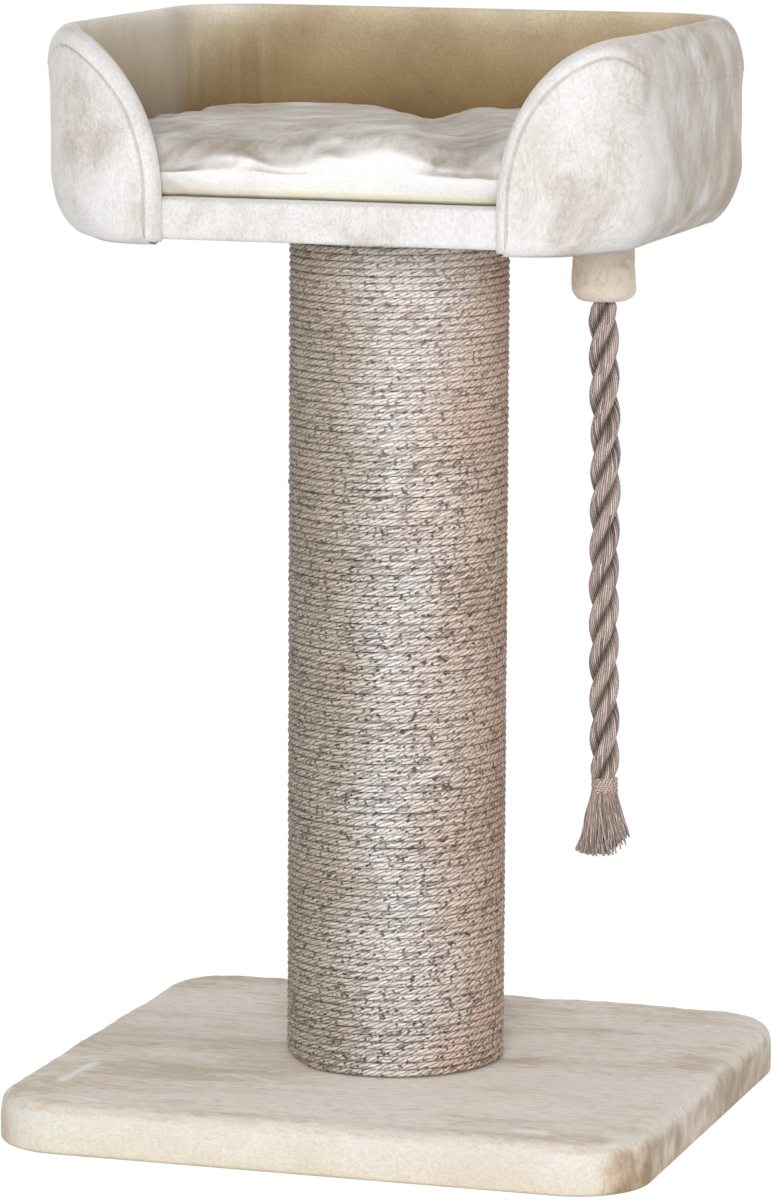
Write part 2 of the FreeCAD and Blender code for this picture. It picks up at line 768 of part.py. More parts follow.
def make_tassel():
    """The frayed end of the rope: a bound neck that spreads into a brush, trimmed at a slant."""
    neck = whip_neck_diameter / 2
    neck_low = rope_end_z - whip_height() - 2 * seat_gap
    end_z = rope_end_z - whip_height() - tassel_length
    spread = tassel_spread / 2
    out_share, down_share = tassel_belly_shares
    belly = Vector(neck + (spread - neck) * out_share, 0, neck_low + (end_z - neck_low) * down_share)
    flare = Part.Arc(Vector(neck, 0, neck_low), belly, Vector(spread, 0, end_z)).toShape()
    outline = [
        Part.LineSegment(Vector(0, 0, end_z), Vector(0, 0, rope_end_z)).toShape(),
        Part.LineSegment(Vector(0, 0, rope_end_z), Vector(neck, 0, rope_end_z)).toShape(),
        Part.LineSegment(Vector(neck, 0, rope_end_z), Vector(neck, 0, neck_low)).toShape(),
        flare,
        Part.LineSegment(Vector(spread, 0, end_z), Vector(0, 0, end_z)).toShape(),
    ]
    brush = Part.Face(Part.Wire(outline)).revolve(Vector(0, 0, 0), Vector(0, 0, 1), 360)
    trim_corner = Vector(-2 * spread, -2 * spread, end_z - tassel_length)
    trim = Part.makeBox(4 * spread, 4 * spread, tassel_length, trim_corner)
    tilt = math.degrees(math.atan2(tassel_slant, tassel_spread))
    trim.rotate(Vector(-spread, 0, end_z), Vector(0, 1, 0), -tilt)
    brush = brush.cut(trim)
    brush.translate(Vector(boss_x, 0, 0))
    return brush


def make_pieces():
    """Every piece of the scratching post by its node's name."""
    staples = make_staples()
    wall_block = make_wall_block()
    filling = make_cushion_body(cushion_skin)
    board_top = bed_bottom + bed_plush + bed_board_thickness
    base_seat = base_plush + head_depth
    base_tip = base_height + plug_thickness + tee_flange_thickness + bolt_tail
    bed_seat = board_top - head_depth
    bed_tip = bed_bottom - plug_thickness - tee_flange_thickness - bolt_tail
    boss_nut = make_tee_nut(board_top - tee_flange_thickness, -1)
    boss_nut.translate(Vector(boss_x, 0, 0))
    nails = []
    for mid_z in nail_heights():
        nails.extend(nail_shapes(mid_z, 0))
    top_start = bed_bottom - (sisal_first_z() - base_height) - end_turns * sisal_pitch
    return {
        "base_board": make_base_board(staples),
        "base_cover": make_base_cover(staples),
        "base_staples": staples,
        "base_bolts": on_bolt_circle(make_bolt(base_seat, base_tip)),
        "base_washers": on_bolt_circle(make_washer(base_seat, 1)),
        "post_tube": make_post_tube(),
        "post_bottom_plug": make_plug(base_height, 1),
        "post_top_plug": make_plug(bed_bottom - plug_thickness, -1),
        "plug_nails": Part.makeCompound(nails),
        "bottom_tee_nuts": on_bolt_circle(make_tee_nut(base_height + plug_thickness, -1)),
        "top_tee_nuts": on_bolt_circle(make_tee_nut(bed_bottom - plug_thickness, 1)),
        "sisal_bottom_turns": make_sisal_turns(sisal_first_z(), "bottom turns"),
        "sisal_sleeve": make_sisal_sleeve(),
        "sisal_top_turns": make_sisal_turns(top_start, "top turns"),
        "bed_board": make_bed_board(),
        "bed_board_cover": make_bed_cover(),
        "bed_bolts": on_bolt_circle(make_bolt(bed_seat, bed_tip)),
        "bed_washers": on_bolt_circle(make_washer(bed_seat, -1)),
        "wall_panel": make_wall_panel(),
        "wall_screws": make_screws(0),
        "wall_outer_cover": make_wall_cover(wall_block),
        "wall_lining": make_wall_lining(wall_block),
        "cushion_cover": make_cushion_body(0).cut(filling),
        "cushion_filling": make_cushion_body(cushion_skin + seat_gap),
        "boss_core": make_boss_core(),
        "boss_cover": make_boss_cover(),
        "boss_stud": make_boss_stud(),
        "boss_tee_nut": boss_nut,
        "rope_root": make_rope_root(),
        "rope_neck": flex_sphere(flex_ball),
        "toy_rope": make_toy_rope(),
        "rope_whipping": make_whipping(),
        "rope_tassel": make_tassel(),
    }


def main():
    """Writes one STEP file for each piece."""
    os.makedirs("parts", exist_ok=True)
    for name, shape in make_pieces().items():
        shape.exportStep("parts/" + name + ".step")
        print(name, "solids", len(shape.Solids), "valid", shape.isValid(), "volume", round(shape.Volume))


main()
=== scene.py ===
"""Looks of a plush cat scratching post with a sofa-shaped bed, a wound sisal post and a hanging rope toy."""

import logging
import math
from collections.abc import Iterator
from contextlib import contextmanager
from dataclasses import dataclass
from enum import Enum

import bmesh
import bpy
import numpy as np
from bpy.types import Material, Mesh, Node, NodeOutputs, NodeSocket, NodeTree, Object
from mathutils import Matrix, Vector

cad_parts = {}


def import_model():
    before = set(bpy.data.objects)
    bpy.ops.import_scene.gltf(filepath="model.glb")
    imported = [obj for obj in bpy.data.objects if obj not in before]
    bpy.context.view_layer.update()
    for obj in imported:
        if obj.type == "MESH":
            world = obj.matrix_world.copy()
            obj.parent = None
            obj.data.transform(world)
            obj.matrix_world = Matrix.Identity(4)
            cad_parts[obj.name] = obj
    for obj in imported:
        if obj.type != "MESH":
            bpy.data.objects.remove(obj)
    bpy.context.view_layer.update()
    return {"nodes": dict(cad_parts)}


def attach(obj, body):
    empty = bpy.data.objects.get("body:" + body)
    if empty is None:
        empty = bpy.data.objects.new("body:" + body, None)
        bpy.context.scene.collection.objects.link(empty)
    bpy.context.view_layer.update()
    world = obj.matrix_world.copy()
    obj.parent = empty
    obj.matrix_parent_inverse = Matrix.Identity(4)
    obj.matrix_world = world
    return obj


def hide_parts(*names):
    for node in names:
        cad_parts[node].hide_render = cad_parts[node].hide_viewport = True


log = logging.getLogger("scratching_post")
MM = 0.001
QUARTER = np.pi / 2
TURN = 2 * np.pi
UP = np.array([0, 0, 1.0])
WHITE = (1.0, 1.0, 1.0)
NAP_STOPS = (0.12, 0.42, 0.66)


class Slot(str, Enum):
    """Material slots of the record."""

    PLUSH = "plush"
    SISAL = "sisal"
    ROPE = "rope"


class Body(str, Enum):
    """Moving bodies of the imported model."""

    STAND = "stand"
    CUSHION = "cushion"
    ROPE = "rope"


# Arrays


def smooth(x: np.ndarray) -> np.ndarray:
    """Ease curve 3x^2 - 2x^3 of x held between 0 and 1."""
    t = np.clip(x, 0.0, 1.0)
    return t * t * (3 - 2 * t)


def bell(x: np.ndarray, wide: float) -> np.ndarray:
    """Gaussian bell of x: 1 in the middle and 1/e at the given distance from it."""
    return np.exp(-(x / wide) ** 2)


def unit(v: np.ndarray) -> np.ndarray:
    """Vectors on the last axis, brought to length 1."""
    return v / np.linalg.norm(v, axis=-1, keepdims=True)


def level_ways(angle: np.ndarray) -> np.ndarray:
    """Level unit vectors at angles from X."""
    return np.stack([np.cos(angle), np.sin(angle), np.zeros(len(angle))], 1)


def run_along(line: np.ndarray) -> np.ndarray:
    """Length along a line from its first point to each point."""
    return np.concatenate([[0], np.cumsum(np.linalg.norm(np.diff(line, axis=0), axis=1))])


def read_along(at: np.ndarray, run: np.ndarray, values: np.ndarray) -> np.ndarray:
    """Values given along a run, read at other distances, column by column."""
    return np.stack([np.interp(at, run, column) for column in values.T], -1)


def raised(plan: np.ndarray, z: np.ndarray | float) -> np.ndarray:
    """Points in plan with their heights added as the third number."""
    return np.concatenate([plan, np.broadcast_to(z, plan.shape[:-1])[..., None]], -1)


def wave_noise(points: np.ndarray, size: float, seed: int, waves: int = 28) -> np.ndarray:
    """Smooth noise: a sum of cosine waves of one length in seeded random directions, about -1 to 1.

    Args:
        points: places in millimetres, last axis of three.
        size: wave length in millimetres.
        seed: seed of the directions and phases.
        waves: how many waves are summed.

    Returns:
        One value for each place.
    """
    rng = np.random.default_rng(seed)
    way = unit(rng.normal(size=(waves, 3)))
    k = way * (TURN / size) * rng.uniform(0.6, 1.5, (waves, 1))
    phase = rng.uniform(0, TURN, waves)
    return np.cos(points @ k.T + phase).sum(-1) / math.sqrt(waves) * 0.8


def wave_sum(points: np.ndarray, layers: tuple) -> np.ndarray:
    """A sum of wave noises, one for each layer of (share, wave length, seed)."""
    return sum(share * wave_noise(points, size, seed) for share, size, seed in layers)


def along_across(p: np.ndarray, x: float, y: float, way: tuple) -> tuple[np.ndarray, np.ndarray]:
    """Places in plan measured along and across a line.

    Args:
        p: points.
        x: the line's start along X.
        y: the line's start along Y.
        way: the line's direction, of length 1.

    Returns:
        Distances along the line and across it.
    """
    dx = p[..., 0] - x
    dy = p[..., 1] - y
    return dx * way[0] + dy * way[1], -dx * way[1] + dy * way[0]


def rounded_outline(half_w: float, half_d: float, radius: float, count: int) -> tuple[np.ndarray, np.ndarray]:
    """A rectangle with round corners, evenly spaced along its length, with its outward normals.

    The corner centres carry quarter circles; straight sides join them; the whole is resampled by arc length.

    Args:
        half_w: half of the width along X.
        half_d: half of the depth along Y.
        radius: corner radius.
        count: how many points.

    Returns:
        Points and normals, each count by two.
    """
    per_corner = 40
    quarter = np.concatenate([np.linspace(0, QUARTER, per_corner) + QUARTER * c for c in range(4)])
    cx = np.repeat([1, -1, -1, 1], per_corner) * (half_w - radius)
    cy = np.repeat([1, 1, -1, -1], per_corner) * (half_d - radius)
    nrm = np.stack([np.cos(quarter), np.sin(quarter)], 1)
    pts = np.stack([cx, cy], 1) + radius * nrm
    pts = np.vstack([pts, pts[:1]])
    nrm = np.vstack([nrm, nrm[:1]])
    run = run_along(pts)
    at = np.arange(count) / count * run[-1]
    return read_along(at, run, pts), unit(read_along(at, run, nrm))


def cross_ways(line: np.ndarray) -> tuple[np.ndarray, np.ndarray]:
    """Two directions square to a line at each point, the first turned as little as possible from X.

    Args:
        line: points along the path, in order.

    Returns:
        The two directions at each point.
    """
    tan = unit(np.gradient(line, axis=0))
    ref = np.array([1.0, 0, 0])
    side = unit(ref - tan * (tan @ ref)[:, None])
    return side, np.cross(tan, side)


# Meshes


def mesh_object(name: str, verts: np.ndarray, faces: np.ndarray) -> Object:
    """A linked, smooth-shaded object at the origin from points in millimetres and equal-sided faces.

    Args:
        name: object name.
        verts: points by three.
        faces: faces by corners.

    Returns:
        The object.
    """
    mesh = bpy.data.meshes.new(name)
    mesh.from_pydata((verts * MM).tolist(), [], faces.tolist())
    shade_smooth(mesh)
    obj = bpy.data.objects.new(name, mesh)
    bpy.context.scene.collection.objects.link(obj)
    return obj


def shade_smooth(mesh: Mesh) -> None:
    """Shades all faces of a mesh smooth."""
    mesh.polygons.foreach_set("use_smooth", np.ones(len(mesh.polygons), dtype=bool))


def put_uv(obj: Object, uv: np.ndarray) -> None:
    """Stores one UV place for each corner of each face."""
    layer = obj.data.uv_layers.new(name="UVMap")
    layer.data.foreach_set("uv", uv.astype(np.float32).ravel())


def grid_object(name: str, pts: np.ndarray, wrap_rows: bool = False, wrap_cols: bool = False,
                uv: np.ndarray | None = None, zone: np.ndarray | None = None) -> Object:
    """A mesh from a grid of points: each cell of rows by columns is one quad.

    Args:
        name: object name.
        pts: rows by columns by three, in millimetres in the object's frame.
        wrap_rows: whether the last row joins the first.
        wrap_cols: whether the last column joins the first.
        uv: rows by columns by two, with one row or column more where the grid wraps.
        zone: material index of each cell.

    Returns:
        The object.
    """
    rows, cols = pts.shape[:2]
    r = np.arange(rows if wrap_rows else rows - 1)
    c = np.arange(cols if wrap_cols else cols - 1)
    rr, cc = np.meshgrid(r, c, indexing="ij")
    r1 = (rr + 1) % rows
    c1 = (cc + 1) % cols
    quads = np.stack([rr * cols + cc, rr * cols + c1, r1 * cols + c1, r1 * cols + cc], -1).reshape(-1, 4)
    obj = mesh_object(name, pts.reshape(-1, 3), quads)
    if uv is not None:
        put_uv(obj, np.stack([uv[rr, cc], uv[rr, cc + 1], uv[rr + 1, cc + 1], uv[rr + 1, cc]], -2))
    if zone is not None:
        obj.data.polygons.foreach_set("material_index", zone.astype(np.int32).ravel())
    return obj


def read_points(mesh: Mesh, what: str = "co") -> np.ndarray:
    """Reads the places of a mesh's points, or their normals.

    Args:
        mesh: the mesh.
        what: "co" for places, "normal" for normals.

    Returns:
        Points by three.
    """
    values = np.empty(3 * len(mesh.vertices))
    mesh.vertices.foreach_get(what, values)
    return values.reshape(-1, 3)


def paint(obj: Object, name: str, values: np.ndarray) -> None:
    """Stores one number for each point of a mesh under an attribute name."""
    layer = obj.data.attributes.new(name, "FLOAT", "POINT")
    layer.data.foreach_set("value", values.astype(np.float32).ravel())


@contextmanager
def edit_mesh(obj: Object) -> Iterator[bmesh.types.BMesh]:
    """Opens an object's mesh for editing, then turns its faces outwards and writes it back.

    Args:
        obj: mesh object.

    Yields:
        The mesh to edit.
    """
    bm = bmesh.new()
    bm.from_mesh(obj.data)
    bm.verts.ensure_lookup_table()
    yield bm
    bmesh.ops.recalc_face_normals(bm, faces=bm.faces)
    bm.to_mesh(obj.data)
    bm.free()


def weld(obj: Object) -> None:
    """Merges doubled points at poles and seams, and turns faces outwards.

    Args:
        obj: mesh object.
    """
    with edit_mesh(obj) as bm:
        bmesh.ops.remove_doubles(bm, verts=bm.verts, dist=1e-6)
        bmesh.ops.dissolve_degenerate(bm, edges=bm.edges, dist=1e-7)


def close_side(obj: Object, rows: int, cols: int) -> None:
    """Closes a band's first and last columns, and turns all faces outwards.

    Args:
        obj: the band, its rows joined in a loop.
        rows: how many rows.
        cols: how many columns.
    """
    with edit_mesh(obj) as bm:
        for col in (0, cols - 1):
            bm.faces.new([bm.verts[r * cols + col] for r in range(rows)])
        bmesh.ops.triangulate(bm, faces=[f for f in bm.faces if len(f.verts) > 4])


def tube_object(name: str, line: np.ndarray, ways: tuple, thick: np.ndarray | float, u: np.ndarray,
                sides: int) -> Object:
    """A capped tube: a circle in the plane of two directions, carried along a line.

    Args:
        name: object name.
        line: the tube's middle line.
        ways: the two directions of the circle, for each point or one for all.
        thick: the tube's radius, for each point or one for all.
        u: the line's length at each point in metres, for the UV; its second number is the turn.
        sides: points round the circle.

    Returns:
        The tube.
    """
    n = len(line)
    a = np.linspace(0, TURN, sides, endpoint=False)
    first, second = (np.broadcast_to(way, line.shape)[:, None] for way in ways)
    ring = np.cos(a)[None, :, None] * first + np.sin(a)[None, :, None] * second
    pts = line[:, None] + np.broadcast_to(thick, n)[:, None, None] * ring
    uv = np.stack(np.broadcast_arrays(u[:, None], np.linspace(0, 1, sides + 1)[None]), -1)
    obj = grid_object(name, pts, wrap_cols=True, uv=uv)
    with edit_mesh(obj) as bm:
        verts = bm.verts[:]
        bm.faces.new(verts[:sides][::-1])
        bm.faces.new(verts[-sides:])
    return obj


def yarn_bundle(name: str, mid: np.ndarray, thick: np.ndarray) -> Object:
    """Many six-sided tubes with level rings in one mesh, capped, with UV of length in metres and turn.

    Args:
        name: object name.
        mid: tubes by points by three, the tubes' middle lines.
        thick: tubes by points, the tubes' radii.

    Returns:
        The bundle.
    """
    sides = 6
    shift = 0.013
    count, seg = mid.shape[:2]
    ring = level_ways(np.linspace(0, TURN, sides, endpoint=False))
    pts = mid[:, :, None] + thick[..., None, None] * ring
    i, j = np.meshgrid(np.arange(seg - 1) * sides, np.arange(sides), indexing="ij")
    j1 = (j + 1) % sides
    quad = np.stack([i + j1, i + j, i + sides + j, i + sides + j1], -1).reshape(-1, 4)
    foot = np.array([[0, 1, 2, 3], [0, 3, 4, 5]])
    ends = np.concatenate([foot, foot[:, ::-1] + (seg - 1) * sides])
    start = np.arange(count)[:, None, None] * seg * sides
    faces = (start + np.concatenate([quad, ends])[None]).reshape(-1, 4)
    obj = mesh_object(name, pts.reshape(-1, 3), faces)
    step = np.linalg.norm(np.diff(mid, axis=1), axis=-1)
    run = np.concatenate([np.zeros((count, 1)), np.cumsum(step, axis=1)], 1) * MM
    u = (run + np.arange(count)[:, None] * shift)[:, :, None]
    uv = np.stack(np.broadcast_arrays(u, np.arange(sides) / sides), -1).reshape(-1, 2)
    put_uv(obj, uv[faces.reshape(-1)])
    return obj


def join(parts: list, name: str) -> Object:
    """Joins mesh objects into one.

    Args:
        parts: objects at the origin.
        name: name of the result.

    Returns:
        The joined object.
    """
    for o in bpy.context.selected_objects:
        o.select_set(False)
    for o in parts:
        o.select_set(True)
    bpy.context.view_layer.objects.active = parts[0]
    bpy.ops.object.join()
    parts[0].name = parts[0].data.name = name
    return parts[0]


# Finishes


class Nodes:
    """Short hand for building one shader tree."""

    def __init__(self, tree: NodeTree) -> None:
        """Keeps the tree to add to."""
        self.tree = tree

    def feed(self, into: NodeSocket, value: object) -> None:
        """Links a socket into an input, or sets a plain value there.

        Args:
            into: the input.
            value: socket or plain value.
        """
        if isinstance(value, NodeSocket):
            self.tree.links.new(value, into)
        else:
            into.default_value = value

    def put(self, node: Node, **values: object) -> Node:
        """Sets a node's properties, and feeds its inputs where the name is an input's.

        Args:
            node: the node.
            values: properties, or inputs written with _ for a space.

        Returns:
            The node.
        """
        for key, value in values.items():
            if hasattr(node, key):
                setattr(node, key, value)
            else:
                self.feed(node.inputs[key.replace("_", " ")], value)
        return node

    def add(self, kind: str, **values: object) -> Node:
        """Adds a node with its properties and inputs."""
        return self.put(self.tree.nodes.new(kind), **values)

    def math(self, op: str, a: object, b: object = 0.0) -> NodeSocket:
        """A Math node on two sockets or numbers.

        Args:
            op: operation.
            a: first socket or number.
            b: second socket or number.

        Returns:
            Its output.
        """
        node = self.add("ShaderNodeMath", operation=op)
        self.feed(node.inputs[0], a)
        self.feed(node.inputs[1], b)
        return node.outputs[0]

    def scaled(self, value: object, by: object, plus: float) -> NodeSocket:
        """A value times one number plus another."""
        return self.math("ADD", self.math("MULTIPLY", value, by), plus)

    def about(self, value: NodeSocket, by: object) -> NodeSocket:
        """A value's distance from one half, times a number."""
        return self.math("MULTIPLY", self.math("SUBTRACT", value, 0.5), by)

    def ripple(self, value: NodeSocket) -> NodeSocket:
        """A cosine between 0 and 1 that repeats with every whole number of the value."""
        return self.scaled(self.math("COSINE", self.math("MULTIPLY", value, 2 * math.pi)), 0.5, 0.5)

    def held(self, value: NodeSocket, low: float, high: float) -> NodeSocket:
        """A value held between two numbers."""
        return self.math("MINIMUM", self.math("MAXIMUM", value, low), high)

    def ramp(self, fac: NodeSocket, stops: tuple) -> NodeSocket:
        """A colour ramp.

        Args:
            fac: the value that is looked up.
            stops: (place, colour) of each stop.

        Returns:
            The colour.
        """
        node = self.add("ShaderNodeValToRGB", Fac=fac)
        marks = node.color_ramp.elements
        while len(marks) < len(stops):
            marks.new(0.5)
        for mark, (place, colour) in zip(marks, stops):
            mark.position = place
            mark.color = (*colour, 1)
        return node.outputs[0]

    def mix(self, fac: object, a: object, b: object, blend: str = "MIX") -> NodeSocket:
        """A colour mix of a and b.

        Args:
            fac: socket or number.
            a: first colour or socket.
            b: second colour or socket.
            blend: blend type.

        Returns:
            The mixed colour.
        """
        node = self.add("ShaderNodeMix", data_type="RGBA", blend_type=blend)
        self.feed(node.inputs[0], fac)
        for place, value in ((6, a), (7, b)):
            plain = isinstance(value, tuple)
            self.feed(node.inputs[place], (*value, 1) if plain else value)
        return node.outputs[2]

    def times(self, colour: object, by: object, share: object = 1.0) -> NodeSocket:
        """A colour multiplied by another, by a share."""
        return self.mix(share, colour, by, "MULTIPLY")

    def noise(self, coord: NodeSocket, scale: float, detail: float = 3.0, rough: float = 0.5,
              stretch: tuple = (1, 1, 1)) -> NodeSocket:
        """Noise on a coordinate that is stretched along its axes first."""
        place = self.add("ShaderNodeMapping", Vector=coord, Scale=stretch).outputs[0]
        return self.cloud(place, scale, detail, rough)

    def cloud(self, coord: NodeSocket, scale: object, detail: float, rough: float = 0.5,
              **more: object) -> NodeSocket:
        """Noise on a coordinate as it is."""
        return self.add("ShaderNodeTexNoise", Vector=coord, Scale=scale, Detail=detail, Roughness=rough,
                        **more).outputs["Fac"]

    def split(self, vector: NodeSocket) -> NodeOutputs:
        """The three numbers of a vector."""
        return self.add("ShaderNodeSeparateXYZ", Vector=vector).outputs

    def reach(self, value: NodeSocket, low: float, high: float,
              top: float = 1.0) -> NodeSocket:
        """A value's way from low to high, from 0 to top."""
        return self.add("ShaderNodeMapRange", Value=value, From_Min=low, From_Max=high, To_Max=top).outputs[0]

    def bump(self, height: NodeSocket, strength: float, depth: float) -> NodeSocket:
        """The normal of a height."""
        return self.add("ShaderNodeBump", Strength=strength, Distance=depth, Height=height).outputs[0]


def new_group(name: str, vector: str, numbers: dict,
              outs: tuple) -> tuple[Nodes, NodeOutputs, Node]:
    """An empty shader node group with named sockets.

    Args:
        name: group name.
        vector: name of its vector input.
        numbers: name and start value of each number that it takes.
        outs: names of the numbers that it gives.

    Returns:
        The group's helper, its inputs and its output node.
    """
    tree = bpy.data.node_groups.new(name, "ShaderNodeTree")
    tree.interface.new_socket(vector, in_out="INPUT", socket_type="NodeSocketVector")
    for key, value in numbers.items():
        socket = tree.interface.new_socket(key, in_out="INPUT", socket_type="NodeSocketFloat")
        socket.default_value = value
    for key in outs:
        tree.interface.new_socket(key, in_out="OUTPUT", socket_type="NodeSocketFloat")
    nd = Nodes(tree)
    return nd, nd.add("NodeGroupInput").outputs, nd.add("NodeGroupOutput")


def pile_group() -> NodeTree:
    """Brushed pile: large nap patches, clumps, fine tufts and pressed lines, as masks and a height.

    Returns:
        The group: Nap is the lie of the pile, Tuft its fine grain, Stroke the marks of brushing and Crush
        thin lines where it is pressed flat.
    """
    name = "brushed pile"
    have = bpy.data.node_groups.get(name)
    if have:
        return have
    numbers = {"Patch Scale": 14.0, "Tuft Scale": 420.0, "Contrast": 1.0, "Crush Scale": 60.0}
    nd, given, out = new_group(name, "Vector", numbers, ("Nap", "Tuft", "Stroke", "Crush", "Height"))
    warp = nd.add("ShaderNodeTexNoise", Vector=given["Vector"], Scale=given["Patch Scale"], Detail=2.0)
    shift = nd.add("ShaderNodeVectorMath", operation="MULTIPLY_ADD")
    for socket, value in zip(shift.inputs, (warp.outputs["Color"], (0.05, 0.05, 0.05), given["Vector"])):
        nd.feed(socket, value)
    place = shift.outputs[0]
    nap = nd.math("ADD", nd.about(nd.cloud(place, given["Patch Scale"], 5.0, 0.62), given["Contrast"]), 0.5)
    tuft = nd.cloud(place, given["Tuft Scale"], 2.0, 0.6)
    clump = nd.cloud(place, nd.math("MULTIPLY", given["Tuft Scale"], 0.25), 2.0)
    height = nd.math("ADD", nd.math("MULTIPLY", tuft, 0.5), nd.math("MULTIPLY", clump, 0.8))
    line = nd.cloud(place, given["Crush Scale"], 6.0, 0.65, Distortion=1.2)
    off = nd.math("ABSOLUTE", nd.math("SUBTRACT", line, 0.5))
    thin = nd.math("SUBTRACT", 1.0, nd.math("MINIMUM", nd.math("MULTIPLY", off, 14.0), 1.0))
    broad = nd.math("MULTIPLY", nd.math("SUBTRACT", 0.62, nap), 2.2)
    crush = nd.math("MULTIPLY", thin, nd.held(broad, 0.12, 1.0))
    nd.put(out, Nap=nap, Tuft=tuft, Stroke=clump, Crush=crush, Height=height)
    return nd.tree


def strand_group() -> NodeTree:
    """Twisted fibre along a rope: slanted strand ridges from the rope's own UV, with fine fibres.

    UV's first number is the length in metres and the second the turn round the rope, 0 to 1.

    Returns:
        The group: Ridge rises along each strand, Fibre is the fine grain, Dash a chance value of each strand,
        and Side falls towards the groove.
    """
    name = "twisted strands"
    have = bpy.data.node_groups.get(name)
    if have:
        return have
    numbers = {"Strands": 3.0, "Lay": 0.02, "Fibre Scale": 900.0, "Jitter": 0.05}
    nd, given, out = new_group(name, "UV", numbers, ("Ridge", "Fibre", "Dash", "Side", "Height"))
    u, v = nd.split(given["UV"])[:2]
    wobble = nd.add("ShaderNodeTexNoise", noise_dimensions="1D", W=u, Scale=70.0, Detail=2.0).outputs["Fac"]
    slant = nd.math("SUBTRACT", v, nd.math("DIVIDE", u, given["Lay"]))
    turn = nd.math("ADD", slant, nd.about(wobble, given["Jitter"]))
    count = nd.math("MULTIPLY", turn, given["Strands"])
    ridge = nd.ripple(count)
    dash = nd.add("ShaderNodeTexWhiteNoise", noise_dimensions="1D", W=nd.math("ROUND", count))
    along = nd.add("ShaderNodeCombineXYZ", X=nd.math("MULTIPLY", u, 0.35), Y=nd.math("MULTIPLY", turn, 0.02))
    fibre = nd.cloud(along.outputs[0], given["Fibre Scale"], 3.0, 0.65)
    height = nd.math("ADD", ridge, nd.math("MULTIPLY", fibre, 0.7))
    nd.put(out, Ridge=ridge, Fibre=fibre, Dash=dash.outputs["Value"], Side=nd.ripple(v), Height=height)
    return nd.tree


def new_material(name: str) -> tuple[Material, Nodes, Node]:
    """A node material with a Principled shader.

    Args:
        name: material name.

    Returns:
        The material, its tree helper and the shader.
    """
    mat = bpy.data.materials.new(name)
    mat.use_nodes = True
    return mat, Nodes(mat.node_tree), mat.node_tree.nodes["Principled BSDF"]


@dataclass(frozen=True)
class PlushFinish:
    """Short brushed plush: pale tips, darker where the nap lies away.

    The mesh's tone turns it towards tone_colour; on the base, the bed's wall and the cushion that tone holds
    painted shade and light. With front colours, the tone leads from those to the top's own, and past 1
    towards tone_colour. height_stops is (low, high, colour stops) in metres; on the seat and the lining it
    paints shade and light by height.
    """

    name: str
    tip: tuple
    root: tuple
    shade: tuple
    patch_scale: float = 14.0
    tuft_scale: float = 420.0
    contrast: float = 2.4
    stretch: tuple = (1.0, 1.0, 1.0)
    bump: float = 0.55
    bump_depth: float = 0.0016
    crush: float = 0.5
    crush_scale: float = 60.0
    crush_colour: tuple = (0.62, 0.56, 0.50)
    height_stops: tuple = ()
    height_wander: float = 0.05
    tone_colour: tuple | None = None
    front: tuple = ()
    fine: float = 0.75
    stroke: float = 0.0
    brushed: tuple = (0.97, 0.95, 0.93)
    crush_by_tone: bool = False
    tuft_stops: tuple = ((0.3, (0.80, 0.78, 0.76)), (0.62, WHITE))
    stroke_stops: tuple = ((0.32, (0.72, 0.67, 0.60)), (0.5, (0.94, 0.93, 0.91)), (0.68, WHITE))

    def material(self) -> Material:
        """Builds the finish.

        Returns:
            The material.
        """
        mat, nd, bsdf = new_material(self.name)
        coord = nd.add("ShaderNodeTexCoord").outputs["Object"]
        combed = nd.add("ShaderNodeMapping", Vector=coord, Scale=self.stretch).outputs[0]
        pile = nd.add("ShaderNodeGroup", node_tree=pile_group(), Vector=combed, Contrast=self.contrast,
                      Patch_Scale=self.patch_scale, Tuft_Scale=self.tuft_scale,
                      Crush_Scale=self.crush_scale).outputs
        tone = nd.add("ShaderNodeAttribute", attribute_name="tone").outputs["Fac"]
        colour = nd.ramp(pile["Nap"], tuple(zip(NAP_STOPS, (self.shade, self.root, self.tip))))
        if self.front:
            side = nd.ramp(pile["Nap"], tuple(zip(NAP_STOPS, self.front)))
            colour = nd.mix(tone, side, colour)
            colour = nd.mix(nd.math("MULTIPLY", tone, -1.5), colour, self.brushed)
        colour = nd.times(colour, nd.ramp(pile["Tuft"], self.tuft_stops), self.fine)
        if self.stroke:
            share = nd.math("MINIMUM", nd.math("MULTIPLY", tone, self.stroke), self.stroke)
            colour = nd.times(colour, nd.ramp(pile["Stroke"], self.stroke_stops), share)
        if self.tone_colour:
            deep = nd.math("SUBTRACT", tone, 1.0) if self.front else tone
            colour = nd.mix(deep, colour, nd.times(colour, self.tone_colour))
        crush = nd.math("MULTIPLY", pile["Crush"], self.crush)
        if self.crush_by_tone:
            crush = nd.math("MULTIPLY", crush, tone)
        colour = nd.mix(crush, colour, nd.times(colour, self.crush_colour))
        if self.height_stops:
            low, high, stops = self.height_stops
            wander = nd.about(nd.noise(coord, 9.0, 3.0), self.height_wander)
            height = nd.reach(nd.math("ADD", nd.split(coord)[2], wander), low, high)
            colour = nd.times(colour, nd.ramp(height, stops))
        nd.put(bsdf, Base_Color=colour, Normal=nd.bump(pile["Height"], self.bump, self.bump_depth),
               Roughness=0.92, Specular_IOR_Level=0.15, Sheen_Weight=0.35, Sheen_Roughness=0.5,
               Sheen_Tint=(1.0, 0.98, 0.95, 1))
        return mat


